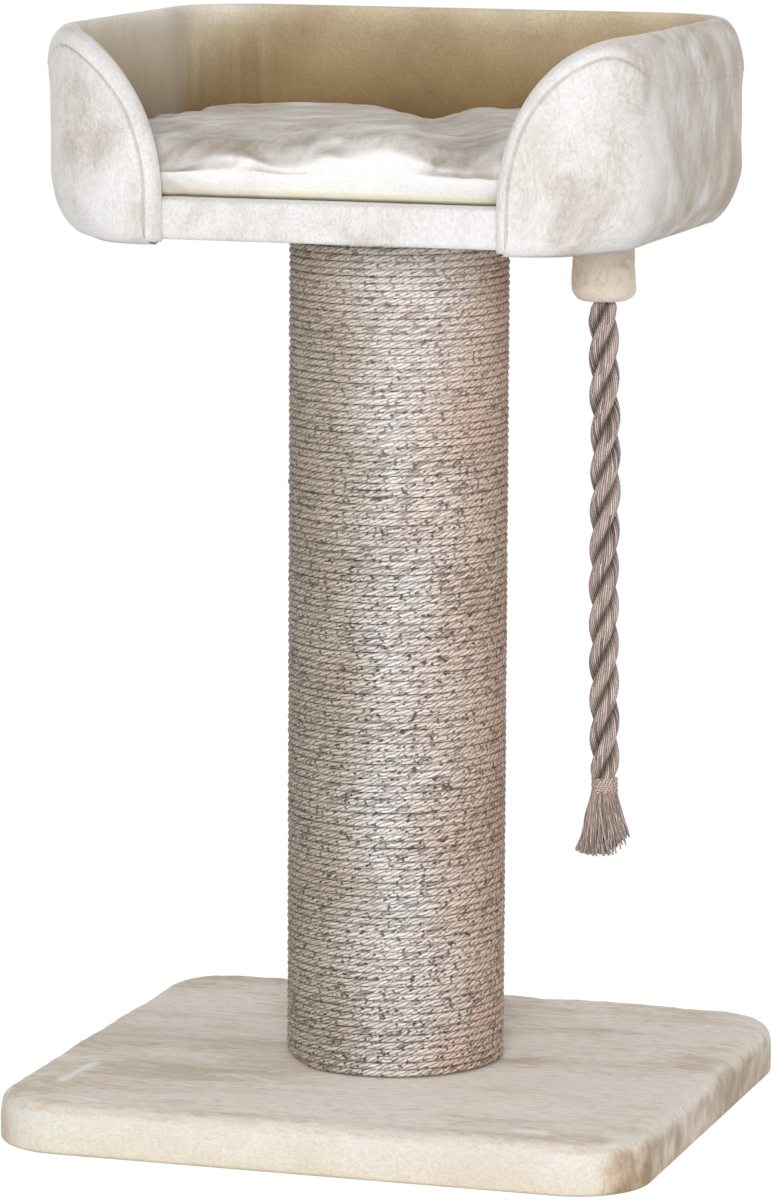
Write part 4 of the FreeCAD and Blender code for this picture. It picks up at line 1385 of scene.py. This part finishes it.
@dataclass
class SeatCushion:
    """The loose cushion in the bed. Sizes in millimetres, the voxel and the cap in metres.

    The profile is (inset, z) above the underside. Each of the dips is (x, y, half width, depth), and the
    valley is (x, y, end x, end y, half width, depth). The room is what the cushion may gain at each side,
    behind and in front. The slant turns and stretches places so that noise lies aslant.
    """

    half_w: float = 247.0
    back: float = 192.0
    front: float = -203.0
    corner: float = 66.0
    low: float = 851.4
    crown: float = 54.0
    most: float = 60.0
    room: tuple = (5.0, 4.5, 3.5)
    around: int = 220
    rings: int = 26
    voxel: float = 0.0055
    pressure: float = 3.0
    frames: int = 16
    cap: float = 0.009
    profile: tuple = ((14, 0), (5, 1.5), (1.5, 5), (3.4, 8.5), (0.6, 11.5), (0, 19), (0.2, 30), (1.0, 39),
                      (3.2, 45), (8.0, 48.8), (18, 50.5))
    dips: tuple = ((-40.0, -186.0, 27.0, 15.0), (-156.0, -212.0, 44.0, 10.0), (96.0, -180.0, 24.0, 6.0),
                   (-14.0, -120.0, 30.0, 6.0), (-205.0, 60.0, 60.0, 6.0), (170.0, -60.0, 50.0, 4.0))
    valley: tuple = (-37.0, 190.0, 118.0, -165.0, 36.0, 11.0)
    slant: tuple = ((0.30, -0.90, 0), (0.25, 0.75, 0), (0, 0, 1))
    lumps: tuple = ((2.6, 95, 51), (1.5, 48, 52), (0.7, 24, 53))

    def form(self) -> np.ndarray:
        """The sewn shape before it is filled: an outline with drawn-in sides, a low seam and a crowned top.

        Rings of the outline are drawn in by a profile: tucked at the foot, full above the seam, then domed.

        Returns:
            Rings of points, from the middle of the underside to the middle of the top.
        """
        half_d = (self.back - self.front) / 2
        out, nrm = rounded_outline(self.half_w, half_d, self.corner, self.around)
        pull = 3.0 * np.cos(np.arctan2(out[:, 1] / half_d, out[:, 0] / self.half_w) * 2) ** 2
        ring = carried((out - nrm * pull[:, None], nrm), np.array(self.profile) + [0, self.low])
        share = np.linspace(1, 0, self.rings)[1:, None, None]
        side = self.profile[-1][1]
        rise = side + (self.crown - side) * smooth((1 - share) * 2.4)
        top = raised(ring[-1:, :, :2] * share, self.low + rise[..., 0])
        under = raised(ring[:1, :, :2] * share[::-1], self.low)
        pts = np.concatenate([under, ring, top])
        pts[..., 1] += (self.back + self.front) / 2
        return pts

    def fill(self, obj: Object) -> np.ndarray:
        """Remeshes the sewn shape evenly and fills it by cloth simulation with inner pressure.

        No point moves further than the cap.

        Args:
            obj: the sewn shape.

        Returns:
            The filled shape's points in millimetres.
        """
        bpy.context.view_layer.objects.active = obj
        remesh = obj.modifiers.new("remesh", "REMESH")
        remesh.mode = "VOXEL"
        remesh.voxel_size = self.voxel
        bpy.ops.object.modifier_apply(modifier=remesh.name)
        before = read_points(obj.data)
        scene = bpy.context.scene
        cloth = obj.modifiers.new("filling", "CLOTH")
        s = cloth.settings
        s.use_pressure = True
        s.uniform_pressure_force = self.pressure
        s.effector_weights.gravity = 0
        s.tension_stiffness = s.compression_stiffness = 14
        s.bending_stiffness = 0.35
        s.quality = 5
        for f in range(1, self.frames + 1):
            scene.frame_set(f)
        shaped = obj.evaluated_get(bpy.context.evaluated_depsgraph_get())
        move = read_points(shaped.data) - before
        obj.modifiers.remove(cloth)
        scene.frame_set(1)
        size = np.linalg.norm(move, axis=1, keepdims=True)
        return (before + move * np.minimum(1, self.cap / np.maximum(size, 1e-9))) / MM

    def hollows(self, p: np.ndarray) -> np.ndarray:
        """Dips with gathers round them, the long valley with a roll beside it, and the sunk left front.

        Args:
            p: points in millimetres.

        Returns:
            Height to add to each point.
        """
        lump = np.zeros(len(p))
        for x, y, wide, deep in self.dips:
            r = np.hypot(p[:, 0] - x, (p[:, 1] - y) * 1.25)
            ang = np.arctan2(p[:, 1] - y, p[:, 0] - x)
            lump -= deep * bell(r, wide)
            lump += 0.11 * deep * np.cos(ang * 13 + x + r / 9) * bell(r - wide * 1.7, wide * 0.9)
        x0, y0, x1, y1, wide, deep = self.valley
        run = math.hypot(x1 - x0, y1 - y0)
        across = (p[:, 0] - x0) * ((y1 - y0) / run) - (p[:, 1] - y0) * ((x1 - x0) / run)
        lump -= deep * bell(across, wide)
        lump += 4.0 * bell(across + 1.5 * wide, 22)
        lump -= 8.0 * smooth((-p[:, 0] - 10) / 70) * smooth((-70 - p[:, 1]) / 90)
        return lump

    def swell(self, obj: Object) -> None:
        """Fills the cushion, gives its top the lie of a used one, keeps it within the bed and paints shade on
        its top.

        Args:
            obj: the sewn shape.
        """
        p = self.fill(obj)
        top = smooth((p[:, 2] - self.low - 22) / 16)
        flat = p * [1, 1, 0]
        aslant = flat @ np.array(self.slant)
        hollow = self.hollows(p)
        gathers = wave_noise(aslant, 15, 55) * smooth(wave_noise(flat, 80, 56) + 0.6)
        p[:, 2] += (hollow + wave_sum(flat, self.lumps) + gathers) * top
        room_x, room_back, room_front = self.room
        least = (-self.half_w - room_x, self.front - room_front, self.low)
        p = np.clip(p, least, (self.half_w + room_x, self.back + room_back, self.low + self.most))
        obj.data.vertices.foreach_set("co", (p * MM).ravel())
        obj.data.update()
        # Painted shade: the top-facing faces get a darker mottled tone, deeper in the hollows and towards the
        # back.
        lying = smooth((read_points(obj.data, "normal")[:, 2] - 0.30) / 0.50)
        mottled_shade = 0.70 + 0.26 * wave_noise(flat, 60, 54) + 0.20 * wave_noise(aslant, 15, 57)
        hollow_shade = np.clip(-hollow / 24, -0.25, 0.45)
        behind = 0.74 + 0.56 * smooth((p[:, 1] - self.front - 55) / 120)
        paint(obj, "tone", np.clip((mottled_shade + hollow_shade) * behind, 0, 1) * lying * top)
        sub = obj.modifiers.new("fine", "SUBSURF")
        sub.levels = sub.render_levels = 1

    def build(self, finish: Material) -> Object:
        """Builds the cushion.

        Args:
            finish: plush material.

        Returns:
            The cushion.
        """
        obj = grid_object("cushion", self.form(), wrap_cols=True)
        weld(obj)
        self.swell(obj)
        shade_smooth(obj.data)
        obj.data.materials.append(finish)
        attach(obj, Body.CUSHION.value)
        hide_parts("cushion_cover", "cushion_filling")
        return obj


# Rope toy


@dataclass
class RopeToy:
    """The plush boss under the bed and the twisted rope that hangs from it. Sizes in millimetres."""

    x: float = 191.5
    boss_top: float = 815.0
    boss_low: float = 753.0
    boss_radius: float = 28.6
    boss_inner: float = 24.9
    boss_foot: float = 12.0
    boss_around: int = 96
    rope: float = 27.4
    lay: float = 104.0
    end_z: float = 319.0
    bound: float = 14.0
    whip_low: float = 304.0
    whip_turns: int = 7
    whip_radius: float = 10.9
    twine: float = 1.15
    tassel_low: float = 249.0
    neck: float = 9.4
    spread: float = 24.5
    yarns: int = 330
    bend_z: float = 745.0
    dome: float = 12.6
    route: tuple = ((191.5, 0.0, 757.2), (192.3, 0.0, 700.0), (195.6, 0.3, 610.0), (194.4, -0.3, 510.0),
                    (195.8, 0.2, 410.0), (197.0, 0.0, 350.0), (197.4, 0.0, 316.0))

    def build_boss(self, finish: Material) -> Object:
        """Builds the boss: a profile with a rounded foot turned about its axis, a little lumpy.

        Args:
            finish: plush material.

        Returns:
            The boss cover.
        """
        r, foot, low = self.boss_radius, self.boss_foot, self.boss_low
        top = self.boss_top - 0.4
        a = np.linspace(0, QUARTER, 14)
        mouth = np.array([[14.2, low + 9.0], [14.3, low + 3.0], [14.9, low + 0.6]])
        arc = np.stack([r - foot + foot * np.sin(a), low + foot * (1 - np.cos(a))], 1)
        side_z = np.linspace(arc[-1, 1], top, 22)[1:]
        side = np.stack([r - 1.4 * ((side_z - side_z[0]) / (side_z[-1] - side_z[0])), side_z], 1)
        back = np.array([[self.boss_inner, top], [self.boss_inner, low + 9.0]])
        prof = np.vstack([mouth, arc, side, back])
        out = level_ways(np.linspace(0, TURN, self.boss_around, endpoint=False))
        pts = prof[:, :1, None] * out + prof[:, 1:, None] * UP
        pts[..., 0] += self.x
        skin = np.zeros((len(prof), 1))
        skin[len(mouth):-len(back)] = 1
        lump = 0.5 * wave_noise(pts, 26, 61) + 0.25 * wave_noise(pts, 9, 62)
        pts += (lump * skin)[..., None] * out
        obj = grid_object("boss_plush", pts, wrap_rows=True, wrap_cols=True)
        weld(obj)
        obj.data.materials.append(finish)
        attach(obj, Body.STAND.value)
        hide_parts("boss_cover")
        return obj

    def route_points(self) -> np.ndarray:
        """Points read from a smooth NURBS curve on the route.

        Returns:
            Points in millimetres.
        """
        curve = bpy.data.curves.new("rope_route", "CURVE")
        curve.dimensions = "3D"
        spline = curve.splines.new("NURBS")
        count = len(self.route)
        spline.points.add(count - 1)
        spline.points.foreach_set("co", np.hstack([np.array(self.route) * MM, np.ones((count, 1))]).ravel())
        spline.order_u = 3
        spline.use_endpoint_u = True
        spline.resolution_u = 48
        obj = bpy.data.objects.new("rope_route", curve)
        mesh = bpy.data.meshes.new_from_object(obj)
        pts = read_points(mesh) / MM
        bpy.data.objects.remove(obj)
        bpy.data.curves.remove(curve)
        bpy.data.meshes.remove(mesh)
        return pts

    def build_rope(self, finish: Material) -> tuple[Object, np.ndarray, float]:
        """Builds three strands, each a tube on a right-hand helix about the route.

        Above the bending point the strands draw in to a dome that ends in the boss's mouth.

        Args:
            finish: rope material.

        Returns:
            The rope, its centreline and its length in millimetres.
        """
        n, sides, strands = 380, 18, 3
        raw = self.route_points()
        run = run_along(raw)
        at = np.linspace(0, run[-1], n)
        line = read_along(at, run, raw)
        side, other = cross_ways(line)
        thick = self.rope * 0.247
        off = self.rope / 2 - thick
        pinch = 1 - 0.22 * smooth((at - (run[-1] - self.bound)) / self.bound)
        rise = (line[:, 2] - self.bend_z) / self.dome
        dome = np.sqrt(1 - np.clip(rise, 0, 0.97) ** 2) * self.dome / (self.rope / 2)
        dome = dome + (1 - dome) * smooth(-rise)
        parts = []
        for k in range(strands):
            turn = -TURN * at / self.lay + k * TURN / strands + 0.5
            uneven = wave_noise(np.stack([at, np.full(n, 90.0 * k), np.zeros(n)], 1), 60, 71)
            radial = np.cos(turn)[:, None] * side + np.sin(turn)[:, None] * -other
            across = -np.sin(turn)[:, None] * side + np.cos(turn)[:, None] * -other
            mid = line + radial * (off * pinch * dome)[:, None]
            radius = thick * (1 + 0.035 * uneven) * (0.5 + 0.5 * pinch) * dome
            length = at * MM + k * 0.37
            parts.append(tube_object(f"strand_{k}", mid, (radial, across * 1.04), radius, length, sides))
        obj = join(parts, "toy_rope_strands")
        obj.data.materials.append(finish)
        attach(obj, Body.ROPE.value)
        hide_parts("toy_rope", "rope_neck")
        return obj, line, float(run[-1])

    def build_whipping(self, finish: Material, centre: np.ndarray) -> Object:
        """Builds the whipping: a thin tube on a close helix round the rope's bound end.

        Args:
            finish: twine material.
            centre: the rope's lower end.

        Returns:
            The whipping.
        """
        t = np.linspace(0, self.whip_turns, self.whip_turns * 48 + 1)
        out = level_ways(TURN * t)
        r = self.whip_radius + 0.3 * np.sin(t * 2.1)
        z = self.whip_low + 0.6 + (self.end_z - self.whip_low - 1.0) * t / self.whip_turns
        line = np.stack([centre[0] + r * out[:, 0], centre[1] + r * out[:, 1], z], 1)
        obj = tube_object("whipping_twine", line, (out, UP), self.twine, t * 0.068, 8)
        obj.data.materials.append(finish)
        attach(obj, Body.ROPE.value)
        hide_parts("rope_whipping")
        return obj

    def build_tassel(self, finish: Material, centre: np.ndarray) -> Object:
        """Builds the frayed end: thin yarns that leave the bound neck and spread in a brush, cut at a slant.

        Each yarn's distance from the axis grows from the neck by a power of the depth, with a lazy wave.

        Args:
            finish: yarn material.
            centre: the rope's lower end.

        Returns:
            The tassel.
        """
        one = (self.yarns, 1)
        rng = np.random.default_rng(81)
        s = np.linspace(0, 1, 14)[None]
        share = np.sqrt(rng.uniform(0, 1, one))
        ang = rng.uniform(0, TURN, one)
        twist = ang + s * rng.normal(0.25, 0.3, one)
        reach = share * (self.neck + (self.spread - self.neck) * s ** 1.15 * rng.uniform(0.78, 1.04, one))
        wave = np.sin(s * rng.uniform(4, 11, one) + rng.uniform(0, 6, one)) * s * rng.uniform(0.2, 1.3, one)
        x = reach * np.cos(twist) + wave
        y = reach * np.sin(twist) + wave * rng.normal(0, 0.7, one)
        slant = 15.0 * smooth((share * self.spread * np.cos(ang) - 1) / 22)
        low = self.tassel_low + 0.5 + slant + np.abs(rng.normal(0, 1.6, one))
        top = self.end_z - 3.0
        mid = np.stack([centre[0] + x, centre[1] + y, top + (low - top) * s], -1)
        thick = rng.uniform(0.75, 1.25, one) * (1 - 0.25 * s ** 4)
        obj = yarn_bundle("rope_brush", mid, thick)
        obj.data.materials.append(finish)
        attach(obj, Body.ROPE.value)
        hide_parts("rope_tassel")
        return obj


# Hardware, camera and studio


@dataclass
class Hardware:
    """Finishes for the carried-over solids: boards, tube, fixings and what lies under the soft pieces."""

    finishes: dict
    wood: tuple = ("base_board", "post_bottom_plug", "post_top_plug", "bed_board", "wall_panel", "boss_core")
    starts: tuple = (("post_tube", "kraft_tube"), ("sisal", "sisal"), ("rope", "rope_fibre"),
                     ("toy_rope", "rope_fibre"), ("cushion", "plush_seat"), ("wall_lining", "plush_lining_shaded"),
                     ("wall_outer", "plush_pale"), ("base_cover", "plush_base"),
                     ("bed_board_cover", "plush_pale"), ("boss_cover", "plush_boss"))

    def finish_of(self, name: str) -> Material:
        """Picks a node's finish by its name.

        Args:
            name: node name.

        Returns:
            The finish; zinc for every fixing.
        """
        if name in self.wood:
            return self.finishes["particle_board"]
        found = [finish for start, finish in self.starts if name.startswith(start)]
        return self.finishes[found[0] if found else "zinc_steel"]

    def dress(self, nodes: dict) -> None:
        """Gives each carried-over node its finish.

        Args:
            nodes: node name to object.
        """
        for name, obj in nodes.items():
            mat = self.finish_of(name)
            obj.data.materials.clear()
            obj.data.materials.append(mat)
            log.info("dressed %s with %s", name, mat.name)


@dataclass(frozen=True)
class PhotoCamera:
    """Camera at the photograph's angle, with its target in the middle of the frame and no shift.

    Millimetres and degrees; the focal length and the image height are in pixels.
    """

    azimuth: float = 17.352
    elevation: float = 8.818
    roll: float = 0.287
    distance: float = 5415.45
    focal_px: float = 5927.79
    image_px: int = 1200
    sensor: float = 36.0
    side: float = -10.37
    height: float = 471.32

    def build(self) -> Object:
        """Builds the camera.

        Returns:
            The camera.
        """
        a, e, r = (math.radians(v) for v in (self.azimuth, self.elevation, self.roll))
        back = Vector((math.sin(a) * math.cos(e), -math.cos(a) * math.cos(e), math.sin(e)))
        right = Vector((math.cos(a), math.sin(a), 0))
        up = back.cross(right)
        turned = math.cos(r) * right + math.sin(r) * up
        upright = -math.sin(r) * right + math.cos(r) * up
        target = right * self.side + Vector((0, 0, self.height))
        place = (target + back * self.distance) * MM
        data = bpy.data.cameras.new("photo_camera")
        data.sensor_fit = "AUTO"
        data.sensor_width = self.sensor
        data.lens = self.focal_px / self.image_px * self.sensor
        data.clip_start = 0.1
        data.clip_end = 50.0
        cam = bpy.data.objects.new("photo_camera", data)
        cam.matrix_world = Matrix.Translation(place) @ Matrix((turned, upright, back)).transposed().to_4x4()
        bpy.context.scene.collection.objects.link(cam)
        bpy.context.scene.camera = cam
        return cam


@dataclass(frozen=True)
class Lamp:
    """One soft area lamp: where it stands, what it points at, its size in metres and its power."""

    name: str
    place: tuple
    aim: tuple
    size: float
    power: float

    def build(self) -> Object:
        """Builds the lamp.

        Returns:
            The lamp.
        """
        data = bpy.data.lights.new(self.name, "AREA")
        data.shape = "DISK"
        data.size = self.size
        data.energy = self.power
        obj = bpy.data.objects.new(self.name, data)
        way = Vector(self.aim) - Vector(self.place)
        obj.matrix_world = Matrix.Translation(self.place) @ way.to_track_quat("-Z", "Y").to_matrix().to_4x4()
        bpy.context.scene.collection.objects.link(obj)
        return obj


@dataclass(frozen=True)
class Studio:
    """White floor, white surround and soft lamps. Sizes in metres."""

    lamps: tuple = (
        Lamp("key", (1.65, -6.05, 2.2), (0.0, 0.0, 0.5), 2.2, 246.0),
        Lamp("fill", (3.4, 0.2, 1.3), (0.0, 0.0, 0.5), 1.8, 5.0),
    )
    world_level: float = 0.55
    half_floor: float = 4.0

    def build(self) -> Object:
        """Builds floor, world and lamps.

        Returns:
            The floor.
        """
        for lamp in self.lamps:
            lamp.build()
        world = bpy.data.worlds.new("studio")
        bpy.context.scene.world = world
        world.use_nodes = True
        nd = Nodes(world.node_tree)
        level = nd.scaled(self.seen(nd), 1.0 - self.world_level, self.world_level)
        nd.put(world.node_tree.nodes["Background"], Color=(1, 1, 1, 1), Strength=level)
        corners = np.array([[-1, -1, 0], [1, -1, 0], [1, 1, 0], [-1, 1, 0]]) * self.half_floor / MM
        obj = mesh_object("studio_floor", corners, np.array([[0, 1, 2, 3]]))
        obj.data.materials.append(self.floor_material())
        return obj

    @staticmethod
    def seen(nd: Nodes) -> NodeSocket:
        """1 for rays that show the background: camera, glossy and transmission rays.

        Args:
            nd: tree helper.

        Returns:
            The mask.
        """
        path = nd.add("ShaderNodeLightPath").outputs
        both = nd.math("MAXIMUM", path["Is Camera Ray"], path["Is Glossy Ray"])
        return nd.math("MAXIMUM", both, path["Is Transmission Ray"])

    def floor_material(self) -> Material:
        """White floor that keeps the object's soft shadow near it and fades to the white surround.

        Returns:
            The material.
        """
        mat, nd, bsdf = new_material("studio_white")
        nd.put(bsdf, Base_Color=(0.9, 0.9, 0.9, 1), Roughness=0.9)
        glow = nd.add("ShaderNodeEmission", Color=(1, 1, 1, 1), Strength=1.1)
        mix = nd.add("ShaderNodeMixShader")
        share = nd.math("MULTIPLY", self.seen(nd), 0.92)
        for socket, value in zip(mix.inputs, (share, bsdf.outputs[0], glow.outputs[0])):
            nd.feed(socket, value)
        nd.feed(nd.tree.nodes["Material Output"].inputs["Surface"], mix.outputs[0])
        return mat


def plush_finishes() -> tuple:
    """Finishes of the plush pieces.

    Returns:
        The finishes.
    """
    pale = PlushFinish(
        "plush_pale", (0.80, 0.79, 0.785), (0.75, 0.735, 0.715), (0.60, 0.55, 0.49), patch_scale=15.0,
        contrast=1.65, stretch=(1.0, 1.0, 0.6), crush_scale=95.0, bump=0.4, tone_colour=(0.58, 0.475, 0.375))
    base = PlushFinish(
        "plush_base", (0.85, 0.785, 0.715), (0.75, 0.655, 0.54), (0.59, 0.48, 0.365), patch_scale=6.5,
        contrast=2.9, stretch=(0.7, 2.6, 1.0), crush=0.22, fine=0.6, stroke=0.8, height_wander=0.006,
        tone_colour=(0.63, 0.535, 0.455),
        front=((0.80, 0.78, 0.74), (0.775, 0.74, 0.685), (0.73, 0.68, 0.61)),
        height_stops=(0.0, 0.047, ((0.0, (0.78, 0.71, 0.55)), (0.08, (0.96, 0.92, 0.82)),
                                   (0.5, (1, 0.985, 0.95)), (0.8, WHITE))))
    # The seat: its height ramp paints a dark shadow at the cushion's foot on the platform and painted light
    # with a yellowish tint on the lower band that turns downwards; its tone_colour paints the shade on the
    # top.
    seat = PlushFinish(
        "plush_seat", (0.87, 0.865, 0.86), (0.84, 0.83, 0.82), (0.72, 0.66, 0.60), contrast=1.2, crush=0.8,
        crush_scale=70.0, crush_by_tone=True, bump=0.4, fine=0.45, stroke=0.5, height_wander=0.0,
        tone_colour=(0.50, 0.445, 0.385),
        height_stops=(0.851, 0.871, ((0.0, (0.22, 0.16, 0.09)), (0.10, (0.5, 0.42, 0.29)),
                                     (0.19, (1.04, 0.99, 0.80)), (0.32, (1.07, 1.05, 0.91)),
                                     (0.46, (1.05, 1.04, 0.94)), (0.62, WHITE))))
    # The lining: its tan is partly its own colour and partly painted shade; the height ramp paints it darker
    # down towards the platform and lighter up to the rim, and tone_colour paints light on its lit side.
    lining = PlushFinish(
        "plush_lining_shaded", (0.43, 0.355, 0.25), (0.385, 0.315, 0.22), (0.31, 0.245, 0.165), patch_scale=9.0,
        contrast=1.5, crush=0.15, bump=0.3, height_wander=0.035, tone_colour=(1.25, 1.38, 1.65),
        height_stops=(0.87, 1.0, ((0.0, (0.34, 0.25, 0.14)), (0.25, (0.56, 0.44, 0.27)),
                                  (0.55, (0.86, 0.75, 0.55)), (0.82, (1.15, 1.09, 0.95)),
                                  (1.0, (1.60, 1.66, 1.70)))))
    boss = PlushFinish(
        "plush_boss", (0.79, 0.69, 0.59), (0.74, 0.64, 0.54), (0.58, 0.47, 0.37), patch_scale=30.0,
        contrast=1.4)
    return pale, base, seat, lining, boss


def rope_finishes() -> tuple:
    """Finishes of the sisal and of the rope toy.

    Returns:
        The finishes.
    """
    sisal = TwistFinish(
        "sisal", (1.0, 0.955, 0.925), (0.07, 0.05, 0.038), (0.86, 0.74, 0.66), 4.0, 0.033, 9.0, 0.0018,
        jitter=0.4, groove=0.22, dash_low=0.80, ramp_stops=(0.17, 0.42), pits=0.9, painted_top_light=(0.5, 0.8, 0.24),
        side_shade_tints=((0.0, (0.58, 0.53, 0.44)), (0.22, (0.72, 0.66, 0.57)), (0.46, WHITE),
                    (0.62, (1.0, 0.96, 0.93)), (0.82, (0.92, 0.77, 0.66)), (1.0, (0.80, 0.61, 0.48))))
    fibre = TwistFinish(
        "sisal_fibre", (0.95, 0.88, 0.82), (0.65, 0.56, 0.48), (0.8, 0.72, 0.65), 3.0, 0.026, 11.0, 0.0002,
        groove=0.0, dash_low=0.9)
    # The rope: the dark pit colour and the deep groove paint shade in the creases between its strands.
    rope = TwistFinish(
        "rope_fibre", (0.86, 0.70, 0.63), (0.17, 0.115, 0.09), (0.82, 0.72, 0.68), 20.0, 0.061, 16.0, 0.0013,
        fibre_scale=1500.0, jitter=0.03, groove=0.62, dash_low=0.6)
    twine = TwistFinish(
        "rope_twine", (0.80, 0.65, 0.58), (0.24, 0.17, 0.14), (0.8, 0.7, 0.66), 2.0, 0.006, 40.0, 0.0005,
        groove=0.2, dash_low=0.75)
    yarn = TwistFinish(
        "rope_yarn", (0.74, 0.60, 0.54), (0.34, 0.25, 0.21), (0.8, 0.7, 0.66), 3.0, 0.03, 60.0, 0.0004,
        groove=0.1, dash_low=0.6)
    return sisal, fibre, rope, twine, yarn


def hard_finishes() -> tuple:
    """Finishes of the boards, the paper tube and the fixings.

    Returns:
        The finishes.
    """
    board = GrainFinish("particle_board", (0.55, 0.42, 0.27), (0.36, 0.25, 0.15), (1, 1, 1), 60.0)
    tube = GrainFinish("kraft_tube", (0.44, 0.32, 0.20), (0.3, 0.21, 0.12), (1, 1, 6), 30.0)
    return board, tube, ZincFinish("zinc_steel", (0.62, 0.63, 0.65))


def main() -> None:
    """Builds the scratching post's looks, piece by piece."""
    logging.basicConfig(level=logging.INFO)
    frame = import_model()
    PhotoCamera().build()
    Studio().build()
    finishes = {f.name: f.material() for f in plush_finishes() + rope_finishes() + hard_finishes()}
    Hardware(finishes).dress(frame["nodes"])

    toy = RopeToy()
    toy.build_boss(finishes["plush_boss"])
    strands, line, length = toy.build_rope(finishes["rope_fibre"])
    whipping = toy.build_whipping(finishes["rope_twine"], line[-1])
    tassel = toy.build_tassel(finishes["rope_yarn"], line[-1])
    log.info("rope toy built, %.0f mm of rope", length)
    PlushBase().build(finishes["plush_base"])
    log.info("base built")
    post = SisalPost()
    post.build(finishes["sisal"])
    post.fuzz(finishes["sisal_fibre"])
    log.info("post built")
    bed = SofaBed()
    bed.build_wall(finishes["plush_pale"], finishes["plush_lining_shaded"])
    bed.build_platform(finishes["plush_pale"])
    log.info("bed built")
    SeatCushion().build(finishes["plush_seat"])
    log.info("cushion built")

    scene = bpy.context.scene
    scene.view_settings.view_transform = "Standard"


if __name__ == "__main__":
    main()
